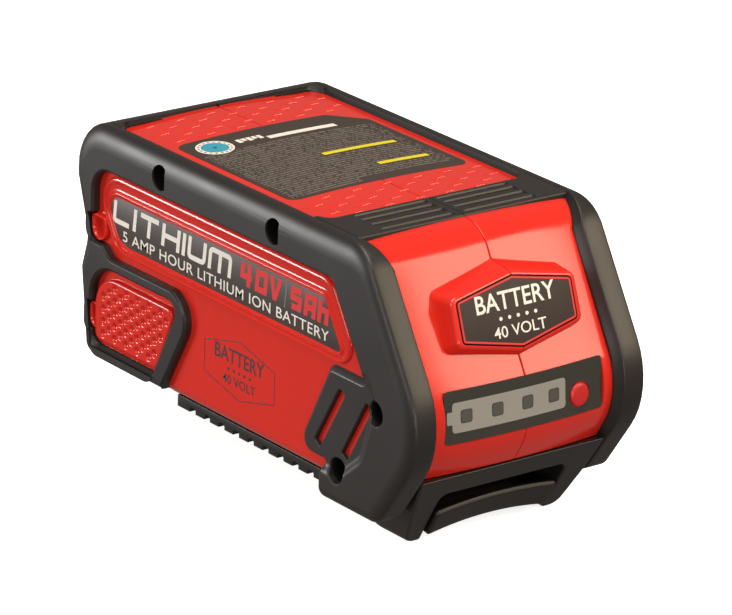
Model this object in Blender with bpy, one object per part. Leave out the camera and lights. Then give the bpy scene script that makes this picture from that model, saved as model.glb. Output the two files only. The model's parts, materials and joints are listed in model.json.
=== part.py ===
"""Rechargeable battery pack: two red case halves with black overmoulded bumpers on a slide base.

Frame: X across, Y along with the front (gauge and latch) at -Y, Z up, feet on Z = 0. Units: metres.
Names ending in _MM are millimetres; every mesh is worked out in millimetres and scaled once.
"""

import math

import bmesh
import bpy
from mathutils import Matrix, Vector

MM = 0.001
GAP = 0.3  # clearance between touching pieces, mm

# Side outline of the whole pack as corner points (y, z, fillet radius), clockwise from the rear top.
BUMPER_CORNERS = [
    (95.5, 101.7, 18.0),
    (-66.7, 101.7, 15.0),
    (-101.8, 45.2, 28.0),
    (-77.6, 11.5, 7.0),
    (-46.6, 11.5, 5.0),
    (-46.2, 19.1, 0.8),
    (89.0, 19.1, 5.5),
    (92.6, 49.0, 6.0),
    (88.8, 61.0, 10.0),
    (95.5, 82.0, 8.0),
]
CASE_CORNERS = [
    (93.6, 100.9, 15.0),
    (-66.2, 100.9, 14.2),
    (-98.5, 45.2, 26.0),
    (-87.6, 27.3, 1.0),
    (-70.0, 27.3, 1.0),
    (-66.0, 17.9, 1.0),
    (86.0, 17.9, 3.0),
    (89.6, 49.0, 6.0),
    (86.0, 61.0, 10.0),
    (93.6, 82.0, 8.0),
]
# How far each edge's face falls back beside the middle, and how far each bumper edge's rounding
# reaches on the side face and on the face that it turns on to.
CASE_CROWN = [1.2, 2.7, 2.7, 0.0, 0.0, 0.0, 0.0, 0.0, 0.0, 1.2]
EDGE_REACH = [8.0, 5.0, 5.0, 3.5, 3.5, 3.5, 6.0, 6.0, 6.0, 7.0]
EDGE_ONWARD = [3.6, 2.2, 2.2, 2.4, 2.4, 2.4, 6.0, 6.0, 6.0, 6.0]
HALF_WIDTH = 47.8  # bumpers' side faces
CASE_HALF = 44.6  # red side faces
FRONT_PANEL_HALF = 38.4  # red front between the bumpers
TOP_PANEL_HALF = 40.5  # red top between the bumpers
WALL = 2.5
STRIP_FRONT, STRIP_REAR, STRIP_FLOOR, STRIP_HALF = -58.0, -38.0, 99.0, 40.7  # ribbed strip let into the top

# Openings of the left bumper's side face, as (y, z, radius).
LABEL_WINDOW = [
    (82.7, 86.8, 9.0),
    (-51.5, 86.8, 2.0),
    (-68.2, 60.0, 4.0),
    (-68.2, 57.6, 0.6),
    (-50.0, 57.6, 4.0),
    (-32.9, 24.2, 5.0),
    (-49.4, 24.2, 1.0),
    (-44.6, 15.5, 0.4),
    (43.8, 15.5, 0.4),
    (24.5, 50.0, 10.0),
    (36.0, 56.2, 6.0),
    (73.0, 56.2, 8.0),
    (82.7, 68.0, 8.0),
]
GRIP_WINDOW = [
    (83.5, 52.0, 14.0),
    (32.5, 52.0, 3.5),
    (47.2, 23.2, 3.5),
    (83.5, 23.2, 3.0),
]
EARS = [(80.2, 65.2, 5.2), (81.5, 33.0, 5.2)]  # small red catch windows at the rear (y, z, radius)
PAD_SLOTS = [((-56.8, 50.0), (-44.2, 28.6)), ((-71.0, 49.6), (-58.6, 28.4))]
PAD_FACE = 46.3  # the slotted pad sits below the bumper's side face

# Case screws, from the left side (y, z).
SCREWS = [(44.2, 93.4), (-19.3, 93.4), (-75.8, 49.1), (-55.8, 22.9)]
SCREW_LENGTH = 30.0
SCREW_SEAT = 24.0  # x of the head's seat, left of the middle

# Cells: 18650, lying across, in nested rows.
CELL_R = 9.1
CELL_LENGTH = 65.0
CELL_PITCH = 19.0
ROW_RISE = 16.5
FIRST_ROW_Z = 38.6
ROWS = [7, 6, 7]
HOLDER_INNER, HOLDER_OUTER = 25.0, 33.6

# Gauge on the front: middle of the overlay and its lean from upright.
GAUGE_Z, GAUGE_HEIGHT, GAUGE_HALF = 48.9, 17.4, 32.0
GAUGE_LEAN = math.radians(4.9)
BUTTON_X, BUTTON_Z, BUTTON_R = 22.1, 46.6, 4.0
BUTTON_TRAVEL = 0.8
LED_X = (-23.7, -11.8, 0.2, 12.0)

# Badge boss: hexagon corners of its face (x, y, z), right side; the left mirrors it.
BADGE_FACE = [(0.0, -82.0, 89.4), (24.8, -83.7, 85.0), (25.1, -88.9, 70.6), (0.0, -90.7, 65.6)]
BADGE_FOOT = [(0.0, -68.0, 91.6), (26.6, -69.0, 84.4), (29.0, -81.0, 66.2), (0.0, -86.5, 61.8)]
BADGE_LABEL = [(0.0, 88.0), (23.4, 83.9), (23.7, 71.4), (0.0, 67.0)]  # (x, z) on the face

# Slide base and release lever.
BASE_TOP = 17.6
RAIL_OUTER, RAIL_NECK = 33.0, 27.5
RAIL_BOTTOM, RAIL_LEDGE, DECK_HALF = 7.3, 11.5, 38.0
RAIL_REAR, FLANGE_REAR = 84.0, 52.0
TOOTH_PITCH, TOOTH_COUNT = 8.35, 9
LEVER_HALF, LEVER_ARCH = 24.0, 2.4
RECESS_HALF = LEVER_HALF + 1.4
TERMINAL_X = (-9.0, -3.0, 3.0, 9.0)
PIVOT_Y, PIVOT_Z, PIN_R = -62.0, 9.2, 1.5
SPRING_Y, SPRING_LOW, SPRING_HIGH = -50.0, 11.6, 15.9

RED, BLACK, LABEL_DARK = (0.62, 0.03, 0.02), (0.035, 0.033, 0.031), (0.045, 0.035, 0.03)
STEEL, NICKEL, BRASS = (0.55, 0.55, 0.56), (0.6, 0.59, 0.55), (0.7, 0.5, 0.2)
BOARD_GREEN, CELL_TEAL = (0.02, 0.13, 0.05), (0.03, 0.3, 0.34)
HOLDER_GREY, GUIDE_WHITE = (0.08, 0.08, 0.09), (0.6, 0.6, 0.58)


# ---------------------------------------------------------------- scene helpers

def clear_scene():
    for thing in list(bpy.data.objects):
        bpy.data.objects.remove(thing, do_unlink=True)


def collection(name, hidden=False):
    made = bpy.data.collections.new(name)
    bpy.context.scene.collection.children.link(made)
    made.hide_render = hidden
    return made


def material(name, colour, roughness, metallic=0.0):
    made = bpy.data.materials.get(name)
    if made:
        return made
    made = bpy.data.materials.new(name)
    made.use_nodes = True
    shader = made.node_tree.nodes["Principled BSDF"]
    shader.inputs["Base Color"].default_value = (*colour, 1.0)
    shader.inputs["Roughness"].default_value = roughness
    shader.inputs["Metallic"].default_value = metallic
    return made


def finish(bm, name, home, finish_of=None, sharp=35):
    """Turn a millimetre bmesh into an object in metres, in its collection."""
    bmesh.ops.recalc_face_normals(bm, faces=bm.faces)
    bmesh.ops.scale(bm, vec=(MM, MM, MM), verts=bm.verts)
    mesh = bpy.data.meshes.new(name)
    bm.to_mesh(mesh)
    bm.free()
    mesh.shade_smooth()
    mesh.set_sharp_from_angle(angle=math.radians(sharp))
    made = bpy.data.objects.new(name, mesh)
    home.objects.link(made)
    if finish_of:
        mesh.materials.append(finish_of)
    return made


def boolean(target, cutter, operation="DIFFERENCE", solver="EXACT"):
    step = target.modifiers.new(operation.lower() + "_" + cutter.name, "BOOLEAN")
    step.operation = operation
    step.solver = solver
    step.object = cutter


def cutter(bm, name):
    made = finish(bm, "cut_" + name, CUTTERS)
    made.hide_render = True
    made.display_type = "WIRE"
    return made


# ---------------------------------------------------------------- outlines and solids, in mm

def inset(corners, distances):
    """Corner polygon with each edge moved inwards by its own distance; edge i starts at corner i."""
    count = len(corners)
    places = [Vector(c[:2]) for c in corners]
    area = sum(places[i - 1].x * places[i].y - places[i].x * places[i - 1].y for i in range(count))
    turn = 1 if area > 0 else -1
    along = [(places[(i + 1) % count] - places[i]).normalized() for i in range(count)]
    inward = [Vector((-d.y, d.x)) * turn for d in along]
    moved = []
    for i, (_, _, radius) in enumerate(corners):
        before, after = inward[i - 1], inward[i]
        # The new corner is where the two moved edges cross.
        determinant = before.x * after.y - before.y * after.x
        shift = Vector((
            (distances[i - 1] * after.y - distances[i] * before.y) / determinant,
            (distances[i] * before.x - distances[i - 1] * after.x) / determinant,
        ))
        convex = (along[i - 1].x * along[i].y - along[i - 1].y * along[i].x) * turn > 0
        mean = (distances[i - 1] + distances[i]) / 2
        new_radius = max(0.5, radius - mean) if convex else radius + mean
        moved.append((places[i].x + shift.x, places[i].y + shift.y, new_radius))
    return moved


def rounded(corners, arc_step=math.radians(22), values=None):
    """Closed outline through corner points, each fillet an arc of its own radius.

    With values, one for each edge, it also returns the value at each point, blended along each fillet.
    """
    points, blended = [], []
    count = len(corners)
    for i, (a, b, radius) in enumerate(corners):
        here = Vector((a, b))
        back = (Vector(corners[i - 1][:2]) - here).normalized()
        ahead = (Vector(corners[(i + 1) % count][:2]) - here).normalized()
        half = math.acos(max(-1.0, min(1.0, back.dot(ahead)))) / 2
        reach = radius / math.tan(half)
        centre = here + (back + ahead).normalized() * (radius / math.sin(half))
        start = here + back * reach - centre
        turn = math.pi - 2 * half
        side = 1 if back.x * ahead.y - back.y * ahead.x < 0 else -1
        steps = max(1, round(turn / arc_step))
        for k in range(steps + 1):
            points.append(centre + Matrix.Rotation(side * turn * k / steps, 2) @ start)
            if values:
                blended.append(values[i - 1] + (values[i] - values[i - 1]) * k / steps)
    return (points, blended) if values else points


def loft(rings):
    """Closed solid through rings of points with equal counts, its ends filled."""
    bm = bmesh.new()
    rows = [[bm.verts.new(p) for p in ring] for ring in rings]
    for low, high in zip(rows[:-1], rows[1:]):
        for i in range(len(low)):
            bm.faces.new((low[i - 1], low[i], high[i], high[i - 1]))
    bm.faces.new(rows[0])
    bm.faces.new(list(reversed(rows[-1])))
    bm.normal_update()
    bmesh.ops.triangulate(bm, faces=bm.faces[:])
    return bm


def prism(outline, low, high, axis="X"):
    """Flat outline carried along an axis from low to high."""
    place = {
        "X": lambda p, t: (t, p[0], p[1]),
        "Y": lambda p, t: (p[0], t, p[1]),
        "Z": lambda p, t: (p[0], p[1], t),
    }[axis]
    return loft([[place(p, low) for p in outline], [place(p, high) for p in outline]])


def box(low, high):
    bm = bmesh.new()
    bmesh.ops.create_cube(bm, size=1.0)
    size = [h - l for l, h in zip(low, high)]
    middle = [(h + l) / 2 for l, h in zip(low, high)]
    bmesh.ops.scale(bm, vec=size, verts=bm.verts)
    bmesh.ops.translate(bm, vec=middle, verts=bm.verts)
    return bm


def cylinder(start, end, radius, sides=16, end_radius=None, turn=0.0):
    """Closed cylinder or cone between two points."""
    start, end = Vector(start), Vector(end)
    along = end - start
    bm = bmesh.new()
    bmesh.ops.create_cone(
        bm, cap_ends=True, segments=sides, depth=along.length,
        radius1=radius, radius2=radius if end_radius is None else end_radius,
    )
    aim = along.to_track_quat("Z", "Y").to_matrix().to_4x4()
    bmesh.ops.transform(bm, matrix=Matrix.Rotation(turn, 4, "Z"), verts=bm.verts)
    bmesh.ops.transform(bm, matrix=Matrix.Translation((start + end) / 2) @ aim, verts=bm.verts)
    return bm


def turned(profile, y, z, sides=12):
    """Rod along X through (y, z), its profile given as (x, radius) stations."""
    rings = []
    for x, radius in profile:
        turns = [2 * math.pi * k / sides for k in range(sides)]
        rings.append([(x, y + radius * math.cos(t), z + radius * math.sin(t)) for t in turns])
    return loft(rings)


def join(first, *others):
    """Put other bmeshes into the first one as separate shells."""
    for other in others:
        mesh = bpy.data.meshes.new("joined")
        other.to_mesh(mesh)
        other.free()
        first.from_mesh(mesh)
        bpy.data.meshes.remove(mesh)
    return first


def crown(depth, x):
    """Fall of a crowned face beside its middle line, depth being the fall at the panels' edges."""
    return depth * (min(abs(x), TOP_PANEL_HALF) / TOP_PANEL_HALF) ** 2


def case_rings(grow=0.0, thinner=0.0):
    """Rings of the case's outer form across X; grow swells it, thinner shrinks it for the inside."""
    half = CASE_HALF + grow - thinner
    stations = [(-half, 4.0), (-half + 1.6, 1.2), (-half + 4.4, 0.0)]
    stations += [(x, 0.0) for x in (-30.0, -15.0, 0.0, 15.0, 30.0)]
    stations += [(-x, round_off) for x, round_off in reversed(stations[:3])]
    rings = []
    for x, round_off in stations:
        distances = [thinner - grow + round_off + crown(depth, x) for depth in CASE_CROWN]
        ring = rounded(inset(CASE_CORNERS, distances))
        rings.append([(x, p.x, p.y) for p in ring])
    return rings


def bumper_rings():
    """Rings of the left bumper's outer form, from its side face to the middle."""
    rings = []
    for degrees in (90.0, 67.5, 45.0, 22.5, 0.0):
        angle = math.radians(degrees)
        distances = [reach * (1 - math.cos(angle)) for reach in EDGE_REACH]
        ring, onward = rounded(inset(BUMPER_CORNERS, distances), values=EDGE_ONWARD)
        rings.append([(-HALF_WIDTH + r * (1 - math.sin(angle)), p.x, p.y) for p, r in zip(ring, onward)])
    rings.append([(-GAP / 2, p.x, p.y) for p in rounded(BUMPER_CORNERS)])
    return rings


def mirrored(source, name, finish_of, home):
    """The right-hand twin of an object made on the left, its modifiers applied."""
    graph = bpy.context.evaluated_depsgraph_get()
    mesh = bpy.data.meshes.new_from_object(source.evaluated_get(graph))
    bm = bmesh.new()
    bm.from_mesh(mesh)
    bmesh.ops.scale(bm, vec=(-1, 1, 1), verts=bm.verts)
    bmesh.ops.scale(bm, vec=(1 / MM, 1 / MM, 1 / MM), verts=bm.verts)
    made = finish(bm, name, home, finish_of)
    bpy.data.meshes.remove(mesh)
    return made


# ---------------------------------------------------------------- cutters shared by the case and bumpers

def make_case_cutters():
    cuts = {}
    cuts["grown_case"] = cutter(loft(case_rings(grow=GAP)), "grown_case")
    strip = box((-STRIP_HALF, STRIP_FRONT, STRIP_FLOOR), (STRIP_HALF, STRIP_REAR, 110.0))
    strip_room = cutter(strip, "strip_room")
    band_room = cutter(prism(band_outline(0.0), -STRIP_HALF, STRIP_HALF), "band_room")
    boolean(cuts["grown_case"], strip_room)
    boolean(cuts["grown_case"], band_room)
    return cuts


def band_outline(grow):
    """Side view (y, z) of the room that the rear corner guard takes out of the case, swelled by grow."""
    g = grow
    return [(78.0 - g, 110.0), (78.0 - g, 99.3 - g), (83.0 - g, 98.8 - g), (90.0 - g, 91.0 - g),
            (90.6 - g, 76.0 - g), (110.0, 76.0 - g), (110.0, 110.0)]


# ---------------------------------------------------------------- case halves

def badge_boss(side):
    """Half of the raised hexagon on the front, from its foot inside the wall to its face."""
    foot = [(side * x, y, z) for x, y, z in BADGE_FOOT]
    face = [(side * x, y, z) for x, y, z in BADGE_FACE]
    bm = loft([foot, face])
    return bm


def screw_bosses(side):
    """Posts from the side wall to the middle that the case screws pass through."""
    posts = [cylinder((side * 50.0, y, z), (-side * 1.0, y, z), 4.4, 12) for y, z in SCREWS]
    return join(*posts)


def front_plane_y(z):
    """Y of the gauge's middle plane at height z."""
    return -93.1 + (z - GAUGE_Z) * math.tan(GAUGE_LEAN)


def gauge_sheet(half, low, high, front, back):
    """Crowned strip across the front between two heights; front and back are depths in mm."""
    rings = []
    for i in range(9):
        x = half * (i / 4 - 1)
        bow = crown(CASE_CROWN[1], x)
        y_low, y_high = front_plane_y(low) + bow, front_plane_y(high) + bow
        faces = [(x, y_low + front, low), (x, y_high + front, high)]
        rings.append(faces + [(x, y_high + back, high), (x, y_low + back, low)])
    return loft(rings)


def make_shell(side, name, cuts, home):
    """One hollow case half: outer form less its inside, plus boss, posts and label seats."""
    red = material("case_red", RED, 0.22)
    shell = finish(loft(case_rings()), name, home, red)
    low, high = sorted((-side * 80.0, side * GAP / 2))
    other = cutter(box((low, -120, -10), (high, 120, 120)), name + "_other_half")
    boss = cutter(badge_boss(side), name + "_boss")
    inside = cutter(loft(case_rings(thinner=WALL)), name + "_inside")
    boolean(inside, cutter(screw_bosses(side), name + "_posts"))
    boolean(shell, boss, "UNION")
    boolean(shell, inside)
    boolean(shell, other)
    boolean(shell, cuts["shell_strip"])
    boolean(shell, cuts["shell_band"])
    for key in ("screw_holes_left" if side < 0 else "screw_holes_right", "gauge_pocket", "label_seats",
                "badge_seat", "front_holes", "base_window"):
        boolean(shell, cuts[key])
    return shell


def button_hole():
    return cylinder((BUTTON_X, -100, BUTTON_Z), (BUTTON_X, -84, BUTTON_Z), BUTTON_R + GAP, 16)


def make_shell_cutters(cuts):
    left = [turned([(-60, 3.8), (-SCREW_SEAT, 3.8), (-SCREW_SEAT, 1.9), (5, 1.9)], y, z) for y, z in SCREWS]
    right = [turned([(-5, 1.9), (11, 1.9)], y, z) for y, z in SCREWS]
    cuts["screw_holes_left"] = cutter(join(*left), "screw_holes_left")
    cuts["screw_holes_right"] = cutter(join(*right), "screw_holes_right")
    cuts["shell_strip"] = cutter(box((-STRIP_HALF - GAP, STRIP_FRONT - GAP, STRIP_FLOOR - GAP),
                                     (STRIP_HALF + GAP, STRIP_REAR + GAP, 110.0)), "shell_strip")
    cuts["shell_band"] = cutter(prism(band_outline(GAP), -STRIP_HALF - GAP, STRIP_HALF + GAP), "shell_band")
    low, high = GAUGE_Z - GAUGE_HEIGHT / 2, GAUGE_Z + GAUGE_HEIGHT / 2
    pocket = gauge_sheet(GAUGE_HALF + GAP, low - GAP, high + GAP, -3.0, 0.7)
    cuts["gauge_pocket"] = cutter(pocket, "gauge_pocket")
    left_label = prism(rounded(side_label_corners(GAP)), -50.0, -CASE_HALF + 0.7)
    right_label = prism(rounded(side_label_corners(GAP)), CASE_HALF - 0.7, 50.0)
    top_label = prism(rounded(top_label_corners(GAP)), 99.0, 110.0, "Z")
    cuts["label_seats"] = cutter(join(left_label, right_label, top_label), "label_seats")
    cuts["badge_seat"] = cutter(badge_plate(GAP, -2.0, 0.7), "badge_seat")
    holes = [box((x - 2.4, -100, GAUGE_Z - 2.4), (x + 2.4, -84, GAUGE_Z + 2.4)) for x in LED_X]
    holes.append(button_hole())
    cuts["front_holes"] = cutter(join(*holes), "front_holes")
    cuts["base_window"] = cutter(box((-10.0, 20.0, 10.0), (10.0, 76.0, 22.5)), "base_window")


# ---------------------------------------------------------------- labels

def side_label_corners(grow=0.0):
    """Outline (y, z) of the long side label, swelled by grow."""
    g = grow
    return [(79.8 + g, 78.2 + g, 5.0), (-44.4 - g * 0.8, 78.2 + g, 1.5), (-54.6 - g, 61.7 - g, 1.5),
            (70.0 + g * 0.5, 61.7 - g, 8.0)]


def top_label_corners(grow=0.0):
    """Outline (x, y) of the top label."""
    g = grow
    return [(-36.5 - g, -14.5 - g, 4.0), (36.5 + g, -14.5 - g, 4.0), (36.5 + g, 41.0 + g * 0.4, 2.0),
            (25.5 + g * 0.4, 51.5 + g, 2.0), (-36.5 - g, 51.5 + g, 4.0)]


def badge_plate(grow, front, back):
    """Hexagonal plate lying on the badge face; front and back are depths along its normal."""
    top, bottom = Vector(BADGE_FACE[0]), Vector(BADGE_FACE[3])
    fall = (bottom - top).normalized()
    normal = Vector((0.0, fall.z, -fall.y)).normalized()
    corners = []
    for x, z in BADGE_LABEL:
        t = (z - top.z) / (bottom.z - top.z)
        corners.append(top + (bottom - top) * t + Vector((x, 0.0, 0.0)))
    middle = (corners[0] + corners[3]) / 2
    outline = corners + [Vector((-c.x, c.y, c.z)) for c in (corners[2], corners[1])]
    outline = [c + (c - middle).normalized() * grow * 1.2 for c in outline]
    outward = normal if normal.y < 0 else -normal
    return loft([[tuple(c - outward * depth) for c in outline] for depth in (back, front)])


def make_labels(home):
    dark = material("label_dark", LABEL_DARK, 0.35)
    finish(prism(rounded(side_label_corners()), -CASE_HALF, -CASE_HALF + 0.4), "side_label_left", home, dark)
    finish(prism(rounded(side_label_corners()), CASE_HALF - 0.4, CASE_HALF), "side_label_right", home, dark)
    finish(prism(rounded(top_label_corners()), 99.3, 99.7, "Z"), "top_label", home, dark)
    finish(badge_plate(0.0, 0.0, 0.4), "badge_label", home, dark)
    low, high = GAUGE_Z - GAUGE_HEIGHT / 2, GAUGE_Z + GAUGE_HEIGHT / 2
    overlay = finish(gauge_sheet(GAUGE_HALF, low, high, 0.0, 0.4), "gauge_overlay", home,
                     material("overlay_dark", (0.05, 0.05, 0.045), 0.3))
    boolean(overlay, cutter(button_hole(), "overlay_hole"))


# ---------------------------------------------------------------- bumpers

def make_bumper_cutters(cuts):
    front_room = [(-120, -5), (-120, 93.0), (-63.0, 110.0), (-58.0, 110.0), (-58.0, 90.0), (-60, 60),
                  (-60, -5)]
    cuts["front_panel"] = cutter(prism(front_room, -FRONT_PANEL_HALF, 5), "front_panel")
    cuts["top_panel"] = cutter(box((-TOP_PANEL_HALF, STRIP_REAR, 90.0), (5, 78.0, 110.0)), "top_panel")
    cuts["rear_panel"] = cutter(box((-FRONT_PANEL_HALF, 60.0, -5.0), (5, 110.0, 76.0)), "rear_panel")
    cuts["under_case"] = cutter(box((-FRONT_PANEL_HALF, -110.0, -5.0), (5, -40.0, 60.0)), "under_case")
    cuts["label_window"] = cutter(prism(rounded(LABEL_WINDOW), -60, -30), "label_window")
    cuts["grip_window"] = cutter(prism(rounded(GRIP_WINDOW), -60, -30), "grip_window")
    ears = [cylinder((-60, y, z), (-30, y, z), r, 14) for y, z, r in EARS]
    cuts["ears"] = cutter(join(*ears), "ears")
    slots = []
    for (y1, z1), (y2, z2) in PAD_SLOTS:
        along = Vector((y2 - y1, z2 - z1)).normalized()
        across = Vector((-along.y, along.x)) * 1.7
        ends = [Vector((y1, z1)), Vector((y2, z2))]
        outline = [ends[0] - across, ends[1] - across, ends[1] + across, ends[0] + across]
        slots.append(prism([tuple(p) for p in outline], -60, -30))
    cuts["slots"] = cutter(join(*slots), "slots")
    bores = [cylinder((-60, y, z), (-30, y, z), 4.2, 14) for y, z in SCREWS]
    cuts["bores"] = cutter(join(*bores), "bores")
    pad = [(-77.0, 58.2), (-30.0, 58.2), (-24.0, 22.6), (-46.0, 22.6), (-61.0, 24.0), (-66.5, 30.0),
           (-75.5, 48.0)]
    cuts["pad_level"] = cutter(prism(pad, -60, -PAD_FACE), "pad_level")


def make_bumpers(cuts, home):
    """Left bumper by cutting the outer form; the right one mirrors it without the screw bores."""
    black = material("bumper_black", BLACK, 0.55)
    made = []
    for name, with_bores in (("bumper_left", True), ("bumper_blank", False)):
        bumper = finish(loft(bumper_rings()), name, home, black)
        keys = ["front_panel", "top_panel", "rear_panel", "under_case", "label_window", "grip_window",
                "ears", "pad_level", "slots"]
        keys += ["bores"] if with_bores else []
        keys += ["grown_case"]
        for key in keys:
            boolean(bumper, cuts[key], solver="MANIFOLD")
        made.append(bumper)
    mirrored(made[1], "bumper_right", black, home)
    bpy.data.objects.remove(made[1], do_unlink=True)


# ---------------------------------------------------------------- base

def base_front_outline():
    """Front view (x, z) of the base: wide under the case, feet either side of a low arch."""
    half = [(37.6, 27.0, 1.0), (35.0, 13.0, 6.0), (31.5, 0.0, 4.0), (22.2, 0.0, 0.5), (20.0, 3.4, 2.0)]
    corners = [(-x, z, radius) for x, z, radius in half] + half[::-1]
    return [(p.x, p.y) for p in rounded(corners)]


def base_slope(offset=0.0):
    """Side view (y, z) of the sloped front: keeps what lies behind it, down to the feet."""
    return [(-88.6 + offset, 27.0), (-72.8 + offset, 0.0), (-59.5, 0.0), (-51.0, 9.0), (-50.4, 27.0)]


def make_base(home):
    black = material("base_black", (0.03, 0.03, 0.032), 0.5)
    base = finish(prism(base_front_outline(), -89.0, -50.4, "Y"), "slide_base", home, black)
    keep = cutter(prism(base_slope(), -60, 60), "base_slope")
    boolean(base, keep, "INTERSECT")
    shelf = cutter(box((-60, -70.8, BASE_TOP), (60, -40, 40)), "shelf")
    boolean(base, shelf)
    # Rail: a deck and neck with a flange that ends short, and the terminal block's housing under it.
    deck = [(-DECK_HALF, BASE_TOP), (-DECK_HALF, 16.0), (-RAIL_NECK, 16.0), (-RAIL_NECK, RAIL_LEDGE)]
    flange = [(-RAIL_OUTER, RAIL_LEDGE), (-RAIL_OUTER, RAIL_BOTTOM)]
    for half, rear in ((deck + flange, FLANGE_REAR), (deck, RAIL_REAR)):
        profile = half + [(-x, z) for x, z in reversed(half)]
        boolean(base, cutter(prism(profile, -52.0, rear, "Y"), "rail"), "UNION")
    teeth = []
    for i in range(TOOTH_COUNT + 1):
        middle = -27.6 + TOOTH_PITCH * (i - 0.5) - 0.15
        rise = [(-1.6, -1.0), (-1.6, 1.2), (-0.9, 1.9), (0.9, 1.9), (1.6, 1.2), (1.6, -1.0)]
        notch = [(middle + y, RAIL_BOTTOM + z) for y, z in rise]
        for low, high in ((-36.0, -28.4), (28.4, 36.0)):
            teeth.append(prism(notch, low, high))
    boolean(base, cutter(join(*teeth), "teeth"))
    housing = cutter(box((-15.0, 14.0, 0.0), (15.0, 80.0, 12.0)), "terminal_housing")
    boolean(base, housing, "UNION")
    hollow = cutter(box((-12.6, 17.0, 3.0), (12.6, 90.0, 20.0)), "housing_hollow")
    boolean(base, hollow)
    finger = cutter(box((-RECESS_HALF, -95, -5), (RECESS_HALF, -58.5, 19.4)), "finger_recess")
    boolean(base, finger)
    hook_bay = cutter(box((-9.5, -60, -5), (9.5, -38.0, 16.2)), "hook_bay")
    boolean(base, hook_bay)
    pin = cutter(cylinder((-30.4, PIVOT_Y, PIVOT_Z), (30.4, PIVOT_Y, PIVOT_Z), PIN_R + GAP, 12), "pin_bore")
    boolean(base, pin)
    return base


def make_terminal_block(home):
    block = finish(box((-12.3, 17.3, 3.3), (12.3, 79.6, 17.9)), "terminal_block", home,
                   material("terminal_black", (0.02, 0.02, 0.022), 0.45))
    slots = [box((x - 1.2, 40.0, 3.0), (x + 1.2, 90.0, 12.6)) for x in TERMINAL_X]
    boolean(block, cutter(join(*slots), "terminal_slots"))
    brass = material("terminal_brass", BRASS, 0.25, 1.0)
    for name, x in zip(("positive", "data", "sense", "negative"), TERMINAL_X):
        finish(box((x - 0.4, 40.4, 4.4), (x + 0.4, 72.0, 12.2)), "terminal_" + name, home, brass)


# ---------------------------------------------------------------- release lever

def make_lever(home):
    black = material("lever_black", (0.025, 0.025, 0.027), 0.42)
    paddle_side = [(-80.4, 12.4), (-79.9, 13.8), (-77.9, 13.6), (-74.6, 8.0), (-70.0, 7.4), (-64.5, 12.0),
                   (-61.0, 12.4), (-59.0, 10.8), (-59.0, 7.4), (-64.0, 4.6), (-75.2, 2.2)]
    lever = finish(prism(paddle_side, -LEVER_HALF, LEVER_HALF), "release_lever", home, black)
    # Its lower edge is arched, low at both ends.
    arch = [(x, 2.2 + LEVER_ARCH * (1 - (x / 25.0) ** 2)) for x in range(-25, 26, 5)]
    boolean(lever, cutter(prism(arch + [(25.0, -5.0), (-25.0, -5.0)], -90.0, -66.0, "Y"), "lever_arch"))
    arm_side = [(-62.0, 11.4), (-40.0, 11.0), (-40.0, 9.6), (-41.5, 3.0), (-43.2, 2.2), (-44.6, 3.2),
                (-45.4, 7.2), (-62.0, 6.0)]
    boolean(lever, cutter(prism(arm_side, -8.6, 8.6), "lever_arm"), "UNION")
    bore = cutter(cylinder((-30, PIVOT_Y, PIVOT_Z), (30, PIVOT_Y, PIVOT_Z), PIN_R + GAP, 12), "lever_bore")
    boolean(lever, bore)
    finish(cylinder((-29.9, PIVOT_Y, PIVOT_Z), (29.9, PIVOT_Y, PIVOT_Z), PIN_R, 12), "lever_pin", home,
           material("steel", STEEL, 0.3, 1.0))


def make_lever_spring(home):
    """Compression spring between the lever's rear arm and the bay's ceiling."""
    turns, per_turn, wire, radius = 3.5, 8, 0.35, 2.6
    curve = bpy.data.curves.new("lever_spring", "CURVE")
    curve.dimensions = "3D"
    curve.bevel_depth = wire * MM
    curve.bevel_resolution = 1
    curve.use_fill_caps = True
    spline = curve.splines.new("POLY")
    count = int(turns * per_turn) + 1
    spline.points.add(count - 1)
    low, high = SPRING_LOW + wire, SPRING_HIGH - wire
    for i, point in enumerate(spline.points):
        angle = 2 * math.pi * i / per_turn
        height = low + (high - low) * i / (count - 1)
        x, y = radius * math.cos(angle), SPRING_Y + radius * math.sin(angle)
        point.co = (x * MM, y * MM, height * MM, 1.0)
    spring = bpy.data.objects.new("lever_spring", curve)
    spring.data.materials.append(material("steel", STEEL, 0.3, 1.0))
    home.objects.link(spring)


# ---------------------------------------------------------------- gauge

def make_gauge(home):
    """Button, light guide, board and switch behind the overlay."""
    lean = math.tan(GAUGE_LEAN)
    surface = front_plane_y(BUTTON_Z) + crown(CASE_CROWN[1], BUTTON_X)
    crest, root = (BUTTON_X, surface - 0.9, BUTTON_Z), (BUTTON_X, -86.9, BUTTON_Z - 6.0 * lean)
    cap = cylinder(crest, root, BUTTON_R, 16)
    button = finish(cap, "gauge_button", home, material("button_red", (0.6, 0.03, 0.03), 0.4))
    disc = cylinder((BUTTON_X, -89.2, BUTTON_Z), (BUTTON_X, -88.2, BUTTON_Z), 5.0, 16)
    flange = cutter(disc, "button_flange")
    boolean(button, flange, "UNION")
    guide = finish(box((-28.0, -89.0, GAUGE_Z - 3.0), (16.2, -84.9, GAUGE_Z + 3.0)), "light_guide", home,
                   material("guide_white", GUIDE_WHITE, 0.3))
    pegs = [box((x - 2.0, -91.4, GAUGE_Z - 2.0), (x + 2.0, -87.5, GAUGE_Z + 2.0)) for x in LED_X]
    boolean(guide, cutter(join(*pegs), "guide_pegs"), "UNION")
    board = material("board_green", BOARD_GREEN, 0.4)
    finish(box((-30.0, -84.6, 40.5), (30.0, -83.0, 55.5)), "gauge_board", home, board)
    finish(box((BUTTON_X - 3.0, -85.5, BUTTON_Z - 3.0), (BUTTON_X + 3.0, -84.9, BUTTON_Z + 3.0)),
           "gauge_switch", home, material("switch_black", (0.03, 0.03, 0.03), 0.5))


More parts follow.
